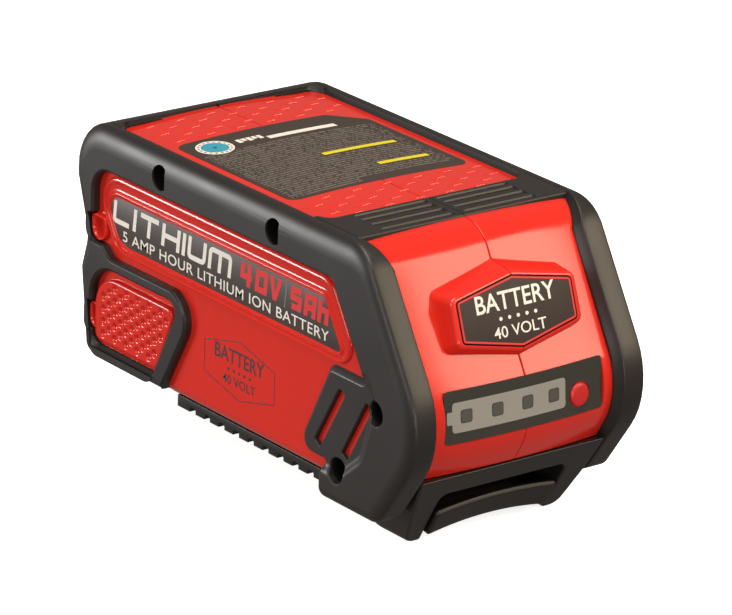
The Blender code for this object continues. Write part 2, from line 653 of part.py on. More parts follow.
# ---------------------------------------------------------------- cells, holders, strips and board

def cell_places():
    """(y, z, row, column) of each cell; odd rows sit half a pitch across, in the hollows."""
    places = []
    for row, count in enumerate(ROWS):
        for column in range(count):
            y = (column - (count - 1) / 2) * CELL_PITCH
            places.append((y, FIRST_ROW_Z + row * ROW_RISE, row, column))
    return places


def make_cells(home):
    wrap = material("cell_wrap", CELL_TEAL, 0.35)
    for number, (y, z, _, _) in enumerate(cell_places(), start=1):
        bm = cylinder((-CELL_LENGTH / 2, y, z), (CELL_LENGTH / 2, y, z), CELL_R, 12)
        finish(bm, "cell_%02d" % number, home, wrap)


def holder_outline():
    """Side view (y, z) of a holder: the three rows of cells with a margin, the middle row pulled in."""
    margin = CELL_R + 1.2
    reach = [(count - 1) / 2 * CELL_PITCH + margin for count in ROWS]
    low = FIRST_ROW_Z - margin
    steps = [FIRST_ROW_Z + ROW_RISE * (k + 0.5) for k in range(2)]
    high = FIRST_ROW_Z + 2 * ROW_RISE + margin
    right = [(reach[0], low), (reach[0], steps[0] - 4), (reach[1], steps[0]), (reach[1], steps[1]),
             (reach[2], steps[1] + 4), (reach[2], high)]
    return right + [(-y, z) for y, z in reversed(right)]


def make_holders(home):
    grey = material("holder_grey", HOLDER_GREY, 0.6)
    bores = [cylinder((-60, y, z), (60, y, z), CELL_R + GAP * 1.1, 12) for y, z, _, _ in cell_places()]
    cells = cutter(join(*bores), "cell_bores")
    for name, low, high in (("cell_holder_left", -HOLDER_OUTER + 2, -HOLDER_INNER),
                            ("cell_holder_right", HOLDER_INNER, HOLDER_OUTER - 2)):
        holder = finish(prism(holder_outline(), low, high), name, home, grey)
        boolean(holder, cells)


def make_strips(home):
    """Nickel sheets welded across the cell ends, each joining one pair of groups."""
    nickel = material("nickel", NICKEL, 0.3, 1.0)
    places = cell_places()
    order = sorted(range(len(places)), key=lambda i: (places[i][2], places[i][0] * (-1) ** places[i][2]))
    groups = {"left": [order[k:k + 4] for k in range(0, 20, 4)],
              "right": [order[:2]] + [order[k:k + 4] for k in range(2, 18, 4)] + [order[18:]]}
    for side, x in (("left", -CELL_LENGTH / 2 - 0.6), ("right", CELL_LENGTH / 2 + 0.3)):
        for number, group in enumerate(groups[side], start=1):
            name = "bus_strip_%s_%d" % (side, number)
            finish(strip([places[i][:2] for i in group], x), name, home, nickel)


def strip(centres, x):
    """One flat ribbon 5 mm wide through the cells' middles, 0.3 mm thick."""
    half = 2.5
    path = [Vector(c) for c in centres]
    path[0] += (path[0] - path[1]).normalized() * 3.0
    path[-1] += (path[-1] - path[-2]).normalized() * 3.0
    upper, lower = [], []
    for i, here in enumerate(path):
        before = (here - path[i - 1]).normalized() if i else (path[1] - here).normalized()
        after = (path[i + 1] - here).normalized() if i < len(path) - 1 else before
        mid = Vector((-before.y - after.y, before.x + after.x)).normalized()
        mid *= half / max(0.5, mid.dot(Vector((-before.y, before.x))))
        upper.append(here + mid)
        lower.append(here - mid)
    return prism([tuple(p) for p in upper + lower[::-1]], x, x + 0.3)


def make_boards(home):
    board = material("board_green", BOARD_GREEN, 0.4)
    finish(box((-30.0, -62.0, 84.4), (30.0, 60.0, 86.0)), "management_board", home, board)


def make_screws(home):
    steel = material("steel", STEEL, 0.3, 1.0)
    for number, (y, z) in enumerate(SCREWS, start=1):
        seat = -SCREW_SEAT - GAP
        head = cylinder((seat - 2.2, y, z), (seat, y, z), 3.2, 12)
        screw = finish(head, "case_screw_%d" % number, home, steel)
        thread = cylinder((seat - 0.5, y, z), (seat + SCREW_LENGTH, y, z), 1.5, 8)
        shank = cutter(thread, "shank_%d" % number)
        boolean(screw, shank, "UNION")
        drive = cutter(cylinder((seat - 3.0, y, z), (seat - 1.0, y, z), 1.3, 6), "drive_%d" % number)
        boolean(screw, drive)


# ---------------------------------------------------------------- build

clear_scene()
PACK = collection("battery_pack")
CUTTERS = collection("cutters", hidden=True)

shared = make_case_cutters()
make_shell_cutters(shared)
make_shell(-1, "shell_left", shared, PACK)
make_shell(1, "shell_right", shared, PACK)
make_bumper_cutters(shared)
make_bumpers(shared, PACK)
make_labels(PACK)
make_base(PACK)
make_terminal_block(PACK)
make_lever(PACK)
make_lever_spring(PACK)
make_gauge(PACK)
make_cells(PACK)
make_holders(PACK)
make_strips(PACK)
make_boards(PACK)
make_screws(PACK)
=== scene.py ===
"""Looks of a rechargeable battery pack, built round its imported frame.

Red case, black bumpers, labels, charge gauge and release lever. X runs across, Y from the gauge end to
the terminal end, Z up. Shapes are worked out in millimetres.
"""

import math

import bmesh
import bpy
import numpy as np
from mathutils import Matrix, Vector
from mathutils.geometry import delaunay_2d_cdt
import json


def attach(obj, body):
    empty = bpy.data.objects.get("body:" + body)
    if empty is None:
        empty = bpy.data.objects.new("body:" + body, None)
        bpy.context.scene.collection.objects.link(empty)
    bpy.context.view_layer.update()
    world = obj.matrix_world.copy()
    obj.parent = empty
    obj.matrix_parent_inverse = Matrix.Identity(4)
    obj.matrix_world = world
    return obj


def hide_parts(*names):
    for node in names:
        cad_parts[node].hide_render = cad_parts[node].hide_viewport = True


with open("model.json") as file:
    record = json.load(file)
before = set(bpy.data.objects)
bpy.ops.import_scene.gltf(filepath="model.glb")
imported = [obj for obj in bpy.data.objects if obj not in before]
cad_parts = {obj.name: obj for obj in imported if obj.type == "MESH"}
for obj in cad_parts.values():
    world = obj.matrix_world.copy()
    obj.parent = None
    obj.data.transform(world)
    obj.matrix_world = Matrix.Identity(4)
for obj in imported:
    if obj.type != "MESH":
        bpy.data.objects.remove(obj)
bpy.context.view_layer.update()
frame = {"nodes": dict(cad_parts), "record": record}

# ------------------------------------------------------------------ camera
# A long lens, low over the left front corner, as a catalogue view of the pack.

LENS_MM, SENSOR_MM = 250.7, 36.0
STAND = Vector((-0.9633, -1.2587, 0.6288))
LEAN, AZIMUTH, ELEVATION = math.radians(1.73), math.radians(-37.6), math.radians(19.99)

back = Vector((math.sin(AZIMUTH) * math.cos(ELEVATION), -math.cos(AZIMUTH) * math.cos(ELEVATION),
               math.sin(ELEVATION)))
level = Vector((0, 0, 1)).cross(back).normalized()
upright = back.cross(level)
across = level * math.cos(LEAN) + upright * math.sin(LEAN)
above = upright * math.cos(LEAN) - level * math.sin(LEAN)
lens = bpy.data.cameras.new("camera")
lens.lens, lens.sensor_width, lens.clip_end = LENS_MM, SENSOR_MM, 20.0
camera = bpy.data.objects.new("camera", lens)
camera.matrix_world = Matrix.Translation(STAND) @ Matrix((across, above, back)).transposed().to_4x4()
bpy.context.scene.collection.objects.link(camera)
bpy.context.scene.camera = camera

# ------------------------------------------------------------------ red case halves
# Two hollow mouldings of glossy red ABS, met on the middle plane with a fine parting line. The front
# and top are crowned, and every outer edge is rounded.

MM = 0.001
CASE_CORNERS = [(93.6, 100.9, 15.0), (-66.2, 100.9, 14.2), (-98.5, 45.2, 26.0), (-87.6, 27.3, 1.0),
                (-70.0, 27.3, 1.0), (-66.0, 17.9, 1.0), (86.0, 17.9, 3.0), (89.6, 49.0, 6.0),
                (86.0, 61.0, 10.0), (93.6, 82.0, 8.0)]
CASE_CROWN = np.array([1.2, 2.7, 2.7, 0, 0, 0, 0, 0, 0, 1.2])
CASE_HALF, CROWN_HALF, CASE_ROUND = 44.6, 40.5, 4.2
RED = (0.665, 0.022, 0.012)


def unit(vectors):
    return vectors / np.linalg.norm(vectors, axis=-1, keepdims=True)


def inset(corners, distances):
    """Corner polygon (a, b, fillet radius) with edge i moved inwards by distances[i].

    Each new corner is where its two moved edges cross. A fillet shrinks by the mean of its two distances at
    a corner that points out, and grows by it at one that points in.
    """
    corners = np.asarray(corners, float)
    after = np.broadcast_to(np.asarray(distances, float), len(corners))
    before = np.roll(after, 1)
    places = corners[:, :2]
    along = unit(np.roll(places, -1, 0) - places)
    prior = np.roll(along, 1, 0)
    a, b = places.T
    turn = np.sign(np.sum(np.roll(a, 1) * b - a * np.roll(b, 1)))
    inward = np.stack([-along[:, 1], along[:, 0]], 1) * turn
    earlier = np.roll(inward, 1, 0)
    crossing = earlier[:, 0] * inward[:, 1] - earlier[:, 1] * inward[:, 0]
    shift = np.stack([before * inward[:, 1] - after * earlier[:, 1],
                      after * earlier[:, 0] - before * inward[:, 0]], 1) / crossing[:, None]
    points_out = (prior[:, 0] * along[:, 1] - prior[:, 1] * along[:, 0]) * turn > 0
    mean = (before + after) / 2
    radius = np.where(points_out, np.maximum(0.1, corners[:, 2] - mean), corners[:, 2] + mean)
    return np.column_stack([places + shift, radius])


def rounded(corners, steps=8, straight=6, values=None):
    """Closed outline through a corner polygon: an arc of each corner's radius, then the straight run on.

    With values, one for each edge, it also gives the value at each point, blended along the arcs.
    """
    corners = np.asarray(corners, float)
    places, radius = corners[:, :2], corners[:, 2]
    behind = unit(np.roll(places, 1, 0) - places)
    ahead = unit(np.roll(places, -1, 0) - places)
    half = np.arccos(np.clip((behind * ahead).sum(1), -1, 1)) / 2
    centre = places + unit(behind + ahead) * (radius / np.sin(half))[:, None]
    start = places + behind * (radius / np.tan(half))[:, None] - centre
    side = np.where(behind[:, 0] * ahead[:, 1] - behind[:, 1] * ahead[:, 0] < 0, 1, -1)
    share = np.linspace(0, 1, steps + 1)
    angle = (side * (math.pi - 2 * half))[:, None] * share
    arc = centre[:, None] + np.stack([np.cos(angle) * start[:, :1] - np.sin(angle) * start[:, 1:],
                                      np.sin(angle) * start[:, :1] + np.cos(angle) * start[:, 1:]], -1)
    onward = np.linspace(0, 1, straight + 2)[1:-1, None]
    run = arc[:, -1:] + (np.roll(arc[:, :1], -1, 0) - arc[:, -1:]) * onward
    points = np.concatenate([arc, run], 1).reshape(-1, 2)
    if values is None:
        return points
    values = np.asarray(values, float)
    earlier = np.roll(values, 1)[:, None]
    along_arc = earlier + (values[:, None] - earlier) * share
    return points, np.concatenate([along_arc, np.repeat(values[:, None], straight, 1)], 1).reshape(-1)


def ribbon(rows, closed=True):
    """Points and quads of a surface given as rows of points; closed joins each row's end to its start."""
    rows = np.asarray(rows, float)
    index = np.arange(rows.shape[0] * rows.shape[1]).reshape(rows.shape[:2])
    if closed:
        index = np.column_stack([index, index[:, 0]])
    quads = np.stack([index[:-1, :-1], index[:-1, 1:], index[1:, 1:], index[1:, :-1]], -1)
    return rows.reshape(-1, 3), quads.reshape(-1, 4)


def inside(points, loop):
    """Which points (a, b) lie inside a closed loop: a ray to the right crosses it an odd number of times."""
    a, b = points[:, 0][:, None], points[:, 1][:, None]
    a0, b0 = loop[:, 0], loop[:, 1]
    a1, b1 = np.roll(a0, -1), np.roll(b0, -1)
    spans = (b0 > b) != (b1 > b)
    meets = a0 + (b - b0) * (a1 - a0) / np.where(b1 == b0, 1e-12, b1 - b0)
    return (spans & (a < meets)).sum(1) % 2 == 1


def filled(loops, seeds=None):
    """Flat points and triangles of the region between closed loops, the first one outermost.

    Seeds are more points inside it, for a surface that is bent afterwards.
    """
    points = np.concatenate(list(loops) + ([seeds] if seeds is not None else []))
    edges, first = [], 0
    for loop in loops:
        index = first + np.arange(len(loop))
        edges += np.stack([index, np.roll(index, -1)], 1).tolist()
        first += len(loop)
    flat, _, triangles, *_ = delaunay_2d_cdt([Vector(p) for p in points.tolist()], edges, [], 1, 1e-7)
    flat, triangles = np.array([tuple(p) for p in flat]), np.array(triangles)
    middles = flat[triangles].mean(1)
    kept = sum(inside(middles, loop).astype(int) for loop in loops) % 2 == 1
    return flat, triangles[kept]


def piece(name, parts, finish_of, body="pack", smooth=32.0, weld=0.002):
    """One object from parts of points (mm) and faces: doubles merged, faces turned out, soft shading."""
    bm = bmesh.new()
    for points, faces in parts:
        verts = [bm.verts.new(p) for p in (np.asarray(points) * MM).tolist()]
        for face in np.asarray(faces).tolist():
            bm.faces.new([verts[i] for i in face])
    bmesh.ops.remove_doubles(bm, verts=bm.verts, dist=weld * MM)
    bmesh.ops.dissolve_degenerate(bm, edges=bm.edges, dist=weld * MM / 4)
    bmesh.ops.recalc_face_normals(bm, faces=bm.faces)
    mesh = bpy.data.meshes.new(name)
    bm.to_mesh(mesh)
    bm.free()
    mesh.shade_smooth()
    mesh.set_sharp_from_angle(angle=math.radians(smooth))
    mesh.materials.append(finish_of)
    made = bpy.data.objects.new(name, mesh)
    bpy.context.scene.collection.objects.link(made)
    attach(made, body)
    return made


def added(tree, kind, **values):
    """A new shader node; values are for its inputs, each named with _ for a space."""
    made = tree.nodes.new("ShaderNode" + kind)
    for socket, value in values.items():
        made.inputs[socket.replace("_", " ")].default_value = value
    return made


def plastic(name, colour, roughness, grain=0.0, grain_size=2200.0, mottle=0.04):
    """Moulded plastic: colour and roughness mottled by a broad noise, and bump by a fine one."""
    made = bpy.data.materials.new(name)
    made.use_nodes = True
    tree = made.node_tree
    shader, link = tree.nodes["Principled BSDF"], tree.links.new
    place = added(tree, "TexCoord")
    broad = added(tree, "TexNoise", Scale=38.0, Detail=3.0)
    link(place.outputs["Object"], broad.inputs["Vector"])
    tint = added(tree, "MapRange", To_Min=1.0 - mottle, To_Max=1.0 + mottle)
    link(broad.outputs["Fac"], tint.inputs["Value"])
    shade = added(tree, "VectorMath")
    shade.operation = "SCALE"
    shade.inputs[0].default_value = colour
    link(tint.outputs["Result"], shade.inputs["Scale"])
    link(shade.outputs["Vector"], shader.inputs["Base Color"])
    rough = added(tree, "MapRange", To_Min=roughness * 0.86, To_Max=roughness * 1.14)
    link(broad.outputs["Fac"], rough.inputs["Value"])
    link(rough.outputs["Result"], shader.inputs["Roughness"])
    if grain:
        fine = added(tree, "TexNoise", Scale=grain_size, Detail=2.0)
        link(place.outputs["Object"], fine.inputs["Vector"])
        bump = added(tree, "Bump", Strength=grain, Distance=0.00006)
        link(fine.outputs["Fac"], bump.inputs["Height"])
        link(bump.outputs["Normal"], shader.inputs["Normal"])
    return made


def crown(depth, x):
    """Fall of a crowned face beside the middle: depth times the square of the share of the way out."""
    return depth * (np.minimum(np.abs(x), CROWN_HALF) / CROWN_HALF) ** 2


def at_x(x, outline):
    """Points (y, z) set at x, which is one number or one for each point."""
    return np.column_stack([np.broadcast_to(x, len(outline)), outline])


def case_rows():
    """Rows of the left half from its side face to the parting line, each an outline at its own x."""
    turn = np.radians(np.linspace(0, 90, 9))
    xs = np.concatenate([-CASE_HALF + CASE_ROUND * (1 - np.cos(turn)), np.linspace(-38, -1.0, 20),
                         [-0.5, -0.36, -0.22, -0.14, -0.11, -0.11]])
    falls = np.concatenate([CASE_ROUND * (1 - np.sin(turn)), np.zeros(20), [0, 0.01, 0.06, 0.14, 0.3, 2.4]])
    xs, falls = np.insert(xs, 0, -CASE_HALF), np.insert(falls, 0, CASE_ROUND + 0.3)
    return np.stack([at_x(x, rounded(inset(CASE_CORNERS, fall + crown(CASE_CROWN, x)), steps=14))
                     for x, fall in zip(xs, falls)])


def mirrored(parts):
    return [(points * (-1, 1, 1), faces) for points, faces in parts]


def capped(rows):
    """A ribbon with its first and last rows filled, each row lying at one x."""
    ends = []
    for row in (rows[0], rows[-1]):
        flat, triangles = filled([row[:, 1:]])
        ends.append((at_x(row[0, 0], flat), triangles))
    return [ribbon(rows)] + ends


red = plastic("case_red", RED, 0.16, grain=0.05, mottle=0.03)
case_left = piece("case_left", capped(case_rows()), red)
case_right = piece("case_right", mirrored(capped(case_rows())), red)
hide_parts("shell_left")
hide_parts("shell_right")

# ------------------------------------------------------------------ bumpers
# Soft-touch black elastomer moulded over each side of the case. Its side face is flat, with windows for
# the label and the thumb pad, and it wraps on to the top, front and rear with a rounded edge and a rim.

BUMPER_HALF = 47.8
# Side outline as (y, z, fillet radius), then how the edge that starts there is made: where it wraps on
# to the next face, the reach of its rounding on the side and on that face, the rim's x and how far the
# rim's inner wall leans in; beside a window, the bevel's width and depth.
WRAPS = [((95.5, 101.7, 18.0), (8.0, 3.6, 42.3, 1.8)), ((-66.7, 101.7, 15.0), (5.0, 2.2, 38.1, 1.9)),
         ((-101.2, 45.2, 28.0), (5.0, 2.2, 38.1, 1.9)), ((-77.6, 11.5, 7.0), (3.5, 2.4, 37.5, 0.3)),
         ((-46.4, 11.5, 3.0), (2.0, 2.0, 37.5, 0.3))]
NOTCH = [((-46.4, 18.6, 1.0), (0.8, 0.7)), ((-49.4, 24.2, 1.0), (0.9, 0.8)),
         ((-32.9, 24.2, 5.0), (1.7, 1.3)), ((-50.0, 57.6, 4.0), (2.6, 1.9)),
         ((-68.2, 57.6, 0.6), (0.7, 0.7)), ((-68.2, 60.0, 3.0), (0.8, 0.7)),
         ((-51.5, 86.8, 2.0), (0.8, 0.7)), ((82.7, 86.8, 9.0), (0.8, 0.7)),
         ((82.7, 70.2, 0.8), (0.7, 0.7)), ((85.6, 68.9, 3.0), (0.7, 0.7)),
         ((85.6, 60.0, 5.0), (0.7, 0.7)), ((77.2, 60.0, 0.8), (0.8, 0.7)),
         ((73.0, 56.2, 6.0), (0.8, 0.7)), ((36.0, 56.2, 6.0), (0.8, 0.7)),
         ((24.5, 50.0, 10.0), (0.9, 0.8))]
REAR = [((41.8, 19.1, 1.0), (3.0, 3.0, 38.4, 0.3)), ((89.0, 19.1, 5.5), (6.0, 6.0, 38.4, 0.3)),
        ((92.6, 49.0, 6.0), (6.0, 6.0, 38.4, 0.3)), ((88.8, 61.0, 10.0), (6.0, 6.0, 38.4, 0.3)),
        ((95.5, 82.0, 8.0), (7.0, 6.0, 38.4, 0.3))]
GRIP_WINDOW = [((83.5, 52.0, 12.0), (1.2, 1.0)), ((32.5, 52.0, 3.5), (1.2, 1.2)),
               ((47.2, 23.2, 3.5), (3.6, 3.0)), ((83.5, 23.2, 3.0), (1.2, 1.0)),
               ((83.5, 28.3, 0.7), (0.7, 0.7)), ((86.1, 28.3, 2.2), (0.7, 0.7)),
               ((86.1, 38.0, 2.2), (0.7, 0.7)), ((83.5, 38.0, 0.7), (0.7, 0.7))]
PAD_SLOTS = [((-56.8, 50.0), (-44.2, 28.6)), ((-71.0, 49.6), (-58.6, 28.4))]
SLOT_HALF, SLOT_ROUND = 1.65, 1.0
PAD_STEP, PAD_BEVEL = 1.5, 3.0
PAD_EDGE = [(-79.5, 60.4, 9.0), (-20.0, 60.4, 1.0), (-16.0, 20.4, 1.0), (-58.0, 20.4, 8.5),
            (-69.6, 30.0, 6.0)]
SCREWS = [(44.2, 93.4), (-19.3, 93.4), (-75.8, 49.1), (-55.8, 22.9)]
SCREW_BORE = 4.1
BLACK = (0.014, 0.0122, 0.0115)


def soft_chamfer():
    """Shares of a bevel's width left and of its depth reached, its two ends eased."""
    return np.array([(1.0, 0.0), (0.9, 0.03), (0.8, 0.11), (0.6, 0.31), (0.4, 0.52), (0.2, 0.75),
                     (0.1, 0.88), (0.03, 0.97), (0.0, 1.12)])


def stepped(corners, rows):
    """Rows of an outline, each moved in by its distances and set back from the side face by its depths."""
    made = []
    for distances, depths in rows:
        outline, depth = rounded(inset(corners, distances), values=depths)
        made.append(at_x(depth - BUMPER_HALF, outline))
    return np.stack(made)


def bumper_edge_rows():
    """Rows of the outer outline, from the flat side face, over its rounding or bevel, to the hidden back.

    A wrapped edge is a quarter ellipse: reach (1 - sin t) inside the outline and onward (1 - cos t) below
    the side face. It runs on to the rim, where a small arc turns it down a leaning wall to the case.
    """
    edges = WRAPS + NOTCH + REAR
    corners = np.array([c for c, _ in edges])
    wraps = np.array([len(how) == 4 for _, how in edges])
    reach, onward, rim, lean = np.array([how if len(how) == 4 else (*how, 0, 0) for _, how in edges]).T
    rim_round = 0.45
    room = BUMPER_HALF - rim - rim_round
    rows = [(reach + 0.25, np.zeros(len(edges)))]
    for (left, deep), share in zip(soft_chamfer(), np.linspace(0, 1, 9)):
        turn = math.pi / 2 * share
        rows.append((np.where(wraps, reach * (1 - np.sin(turn)), reach * left),
                     onward * np.where(wraps, 1 - np.cos(turn), deep)))
    for share in (0.35, 0.7, 1.0):
        rows.append((np.zeros(len(edges)),
                     np.where(wraps, onward + (room - onward) * share, onward + 0.5 * share)))
    for turn in np.radians((30, 60, 90)):
        rows.append((np.where(wraps, rim_round * (1 - np.cos(turn)), 0),
                     np.where(wraps, room + rim_round * np.sin(turn), onward + 0.6 + 0.1 * turn)))
    for depth, share in ((1.8, 0.8), (2.4, 1.0), (5.5, 1.0)):
        rows.append((np.where(wraps, rim_round + depth, 0),
                     np.where(wraps, BUMPER_HALF - rim + lean * share, 3.0 + 0.25 * depth)))
    return stepped(corners, rows)


def window_rows(edges):
    """Rows of a window from the flat face, over its bevel, down its wall to the hidden back."""
    corners = np.array([c for c, _ in edges])
    width, depth = np.array([m for _, m in edges]).T
    rows = [(-width - 0.2, depth * 0)] + [(-width * left, depth * deep) for left, deep in soft_chamfer()]
    rows += [(depth * 0, np.full(len(edges), d)) for d in (3.3, 4.1)]
    return stepped(corners, rows)


def slot_edges(start, end):
    """A round-ended slot between two points as a window's edges."""
    start, end = np.array(start), np.array(end)
    along = unit(end - start)
    out = np.array([-along[1], along[0]]) * SLOT_HALF
    corners = [start - out, end - out, end + out, start + out]
    return [((*c, SLOT_ROUND), (0.35, 0.35)) for c in corners]


def square(a, b, half, radius):
    """Corners of a square about (a, b) that reaches half out each way."""
    return [(a + half * p, b + half * q, radius) for p, q in ((-1, -1), (1, -1), (1, 1), (-1, 1))]


def below(points, corners, width):
    """How far inside a rounded outline points are, as a smooth share of width."""
    loop = rounded(corners, steps=12, straight=30)
    away = np.min(np.linalg.norm(points[:, None] - loop[None], axis=2), axis=1)
    share = np.clip(np.where(inside(points, loop), away, 0) / width, 0, 1)
    return share * share * (3 - 2 * share)


def bumper_parts(bores):
    """Side face with its windows, the wrapped edge and the hidden back, the slotted pad pressed in."""
    edge = bumper_edge_rows()
    windows = [window_rows(GRIP_WINDOW)] + [window_rows(slot_edges(*s)) for s in PAD_SLOTS]
    for y, z in SCREWS[2:] if bores else ():
        round_edge = square(y, z, SCREW_BORE, SCREW_BORE * 0.98)
        windows.append(window_rows([(c, (0.4, 0.4)) for c in round_edge]))
    loops = [edge[0][:, 1:]] + [w[0][:, 1:] for w in windows]
    y, z = np.meshgrid(np.arange(-80, -33, 0.8), np.arange(17, 62, 0.8))
    seeds = np.column_stack([y.ravel(), z.ravel()])
    near = np.concatenate(loops)
    clear = np.min(np.linalg.norm(seeds[:, None] - near[None], axis=2), axis=1) > 0.55
    kept = inside(seeds, loops[0]) & clear
    for loop in loops[1:]:
        kept &= ~inside(seeds, loop)
    flat, triangles = filled(loops, seeds[kept])
    face = (at_x(-BUMPER_HALF, flat), triangles)
    ends = [edge[-1][:, 1:]] + [w[-1][:, 1:] for w in windows]
    flat, triangles = filled(ends)
    backs = np.concatenate([edge[-1]] + [w[-1] for w in windows])
    nearest = np.argmin(np.linalg.norm(flat[:, None] - backs[None, :, 1:], axis=2), axis=1)
    rear_face = (at_x(backs[nearest, 0], flat), triangles)
    parts = [face, rear_face, ribbon(edge)] + [ribbon(w) for w in windows]
    pressed = []
    for points, faces in parts:
        points = points.copy()
        points[:, 0] += PAD_STEP * below(points[:, 1:], PAD_EDGE, PAD_BEVEL)
        pressed.append((points, faces))
    return pressed


black = plastic("bumper_black", BLACK, 0.42, grain=0.22, grain_size=2600.0, mottle=0.06)
bumper_left = piece("bumper_left_cover", bumper_parts(True), black)
bumper_right = piece("bumper_right_cover", mirrored(bumper_parts(False)), black)
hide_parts("bumper_left")
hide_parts("bumper_right")

# Screw wells: bored through the left bumper and case half, lined with painted shade: a near-black, dull
# sheet.
# The two upper mouths are rounds with a straight front side.
SCREW_SEAT = -24.0
MOUTH, MOUTH_FORWARD, MOUTH_CHORD = 4.4, 0.7, 2.7


def tube_rows(stations, y, z, sides=28):
    """Surface turned about the line along X through (y, z): one row for each station (x, radius)."""
    angle = np.linspace(0, 2 * math.pi, sides, endpoint=False)
    xs, radii = np.array(stations, float).T
    return np.stack([np.broadcast_to(xs[:, None], (len(xs), sides)), y + radii[:, None] * np.cos(angle),
                     z + radii[:, None] * np.sin(angle)], -1)


def cut(target, parts):
    """Cut closed parts out of a finished piece, once and for all."""
    tool = piece("tool", parts, target.data.materials[0])
    step = target.modifiers.new("cut", "BOOLEAN")
    step.object, step.solver, step.operation = tool, "EXACT", "DIFFERENCE"
    graph = bpy.context.evaluated_depsgraph_get()
    mesh = bpy.data.meshes.new_from_object(target.evaluated_get(graph))
    target.modifiers.clear()
    target.data = mesh
    mesh.set_sharp_from_angle(angle=math.radians(32))
    bpy.data.objects.remove(tool, do_unlink=True)


def mouth_rows(stations, y, z):
    """Round rows with a straight front side, for the mouths of the two upper wells."""
    rows = tube_rows(stations, y - MOUTH_FORWARD, z, sides=48)
    fronts = y - MOUTH_FORWARD - MOUTH_CHORD + MOUTH - np.array(stations, float)[:, 1:]
    rows[:, :, 1] = np.maximum(rows[:, :, 1], fronts)
    return rows


wells = [capped(tube_rows([(-60, 3.75), (-20, 3.75)], *place)) for place in SCREWS]
cut(case_left, [part for well in wells for part in well])
mouths = [capped(mouth_rows([(-60, MOUTH), (-30, MOUTH)], *place)) for place in SCREWS[:2]]
cut(bumper_left, [part for mouth in mouths for part in mouth])
# Near-black with almost no reflection: painted shade for the insides of the bores and the badge's groove.
painted_shade_black = plastic("painted_shade_black", (0.003, 0.0025, 0.0025), 0.9)
painted_shade_black.node_tree.nodes["Principled BSDF"].inputs["Specular IOR Level"].default_value = 0.1
# Sheets of painted shade inside each bore and each upper mouth, as turned profiles (x, radius).
lining = [(-45.2, 5.8), (-44.8, 5.8), (-44.6, 3.9), (SCREW_SEAT, 3.9), (SCREW_SEAT, 3.45), (-44.9, 3.45),
          (-45.2, 3.7), (-45.2, 5.8)]
sleeve = [(-47.0, 4.25), (-47.0, 4.38), (-45.0, 4.38), (-45.0, 4.25), (-47.0, 4.25)]
linings = [ribbon(tube_rows(lining, *place)) for place in SCREWS]
linings += [ribbon(mouth_rows(sleeve, *place)) for place in SCREWS[:2]]
piece("screw_well_painted_shade", linings, painted_shade_black)

# ------------------------------------------------------------------ ribbed strip and rear corner guard
# The same black elastomer carried across the top behind the knee, with three thumb ribs a side in a shallow
# tray, and over the rear top edge as a corner guard. Both are split on the parting line.

CORNER_ROUND, BAND_TOP = 4.5, 101.7
STRIP_FRONT, STRIP_REAR, GUARD_FRONT = -58.0, -38.0, 78.0
PART_X, RIM_X, SEAM = -0.02, -42.15, 0.3


def shoulder(x):
    """Fall of a cross band at x: none, but for the fine seam beside the rim."""
    return 0.28 * np.clip((np.abs(x) + RIM_X + SEAM) / SEAM, 0, 1) ** 2


def corner_fill(x):
    """How far a cross band reaches along the rim into the red panel's rounded corner."""
    past = np.clip(np.abs(x) - (40.5 - CORNER_ROUND), 0, CORNER_ROUND)
    return CORNER_ROUND - np.sqrt(CORNER_ROUND ** 2 - past ** 2)


def block(top, drop):
    """Closed solid under an open grid of points: the grid, its copy moved by drop, and a wall between."""
    low = top + np.asarray(drop, float)
    around = [np.concatenate([g[0], g[1:, -1], g[-1, -2::-1], g[-2:0:-1, 0]]) for g in (top, low)]
    return [ribbon(top, closed=False), ribbon(low, closed=False), ribbon(np.stack(around))]


def strip_top():
    """Grid over the strip: shoulder across, and along Y rounded ends and three ribs standing in a tray."""
    xs = np.concatenate([np.linspace(RIM_X, RIM_X + SEAM, 4), np.linspace(-41.0, -36.2, 8),
                         np.linspace(-35.5, -31.6, 4), [-31.2, -30.9, -30.6, -30.3],
                         np.linspace(-28, -4, 13), [-2.7, -2.4, -2.1, -1.8, -0.6, -0.3, -0.16, PART_X]])
    tray = 0.75 * np.interp(-xs, [1.8, 2.1, 2.4, 2.7, 30.3, 30.6, 30.9, 31.2],
                            [0, 0.15, 0.85, 1, 1, 0.85, 0.15, 0])
    lip = 0.35 * np.interp(-xs, [0.12, 0.16, 0.3, 0.6], [1.0, 0.5, 0.12, 0.0])
    along, depth = np.array([(0, 0.9), (0.004, 0.45), (0.016, 0.15), (0.034, 0.02), (0.05, 0)]).T
    wave = [(0.07, 0), (0.085, 0.15), (0.10, 0.85), (0.115, 1)]
    for middle in (0.24, 0.50, 0.76):
        rise = [(-0.075, 1), (-0.062, 0.9), (-0.045, 0.2), (-0.03, 0.05), (0, 0), (0.03, 0.05), (0.045, 0.2),
                (0.062, 0.9), (0.075, 1)]
        wave += [(middle + a, d) for a, d in rise]
    wave += [(0.885, 1), (0.90, 0.85), (0.915, 0.15), (0.93, 0)]
    shares = np.concatenate([along, [w[0] for w in wave], 1 - along[::-1]])
    ends = np.concatenate([depth, np.zeros(len(wave)), depth[::-1]])
    ribs = np.concatenate([along * 0, [w[1] for w in wave], along * 0])
    rear = STRIP_REAR + corner_fill(xs)
    y = STRIP_FRONT + (rear - STRIP_FRONT)[:, None] * shares
    fall = (shoulder(xs) + lip)[:, None] + tray[:, None] * ribs + ends
    return np.stack([np.broadcast_to(xs[:, None], y.shape), y, BAND_TOP - fall], -1)


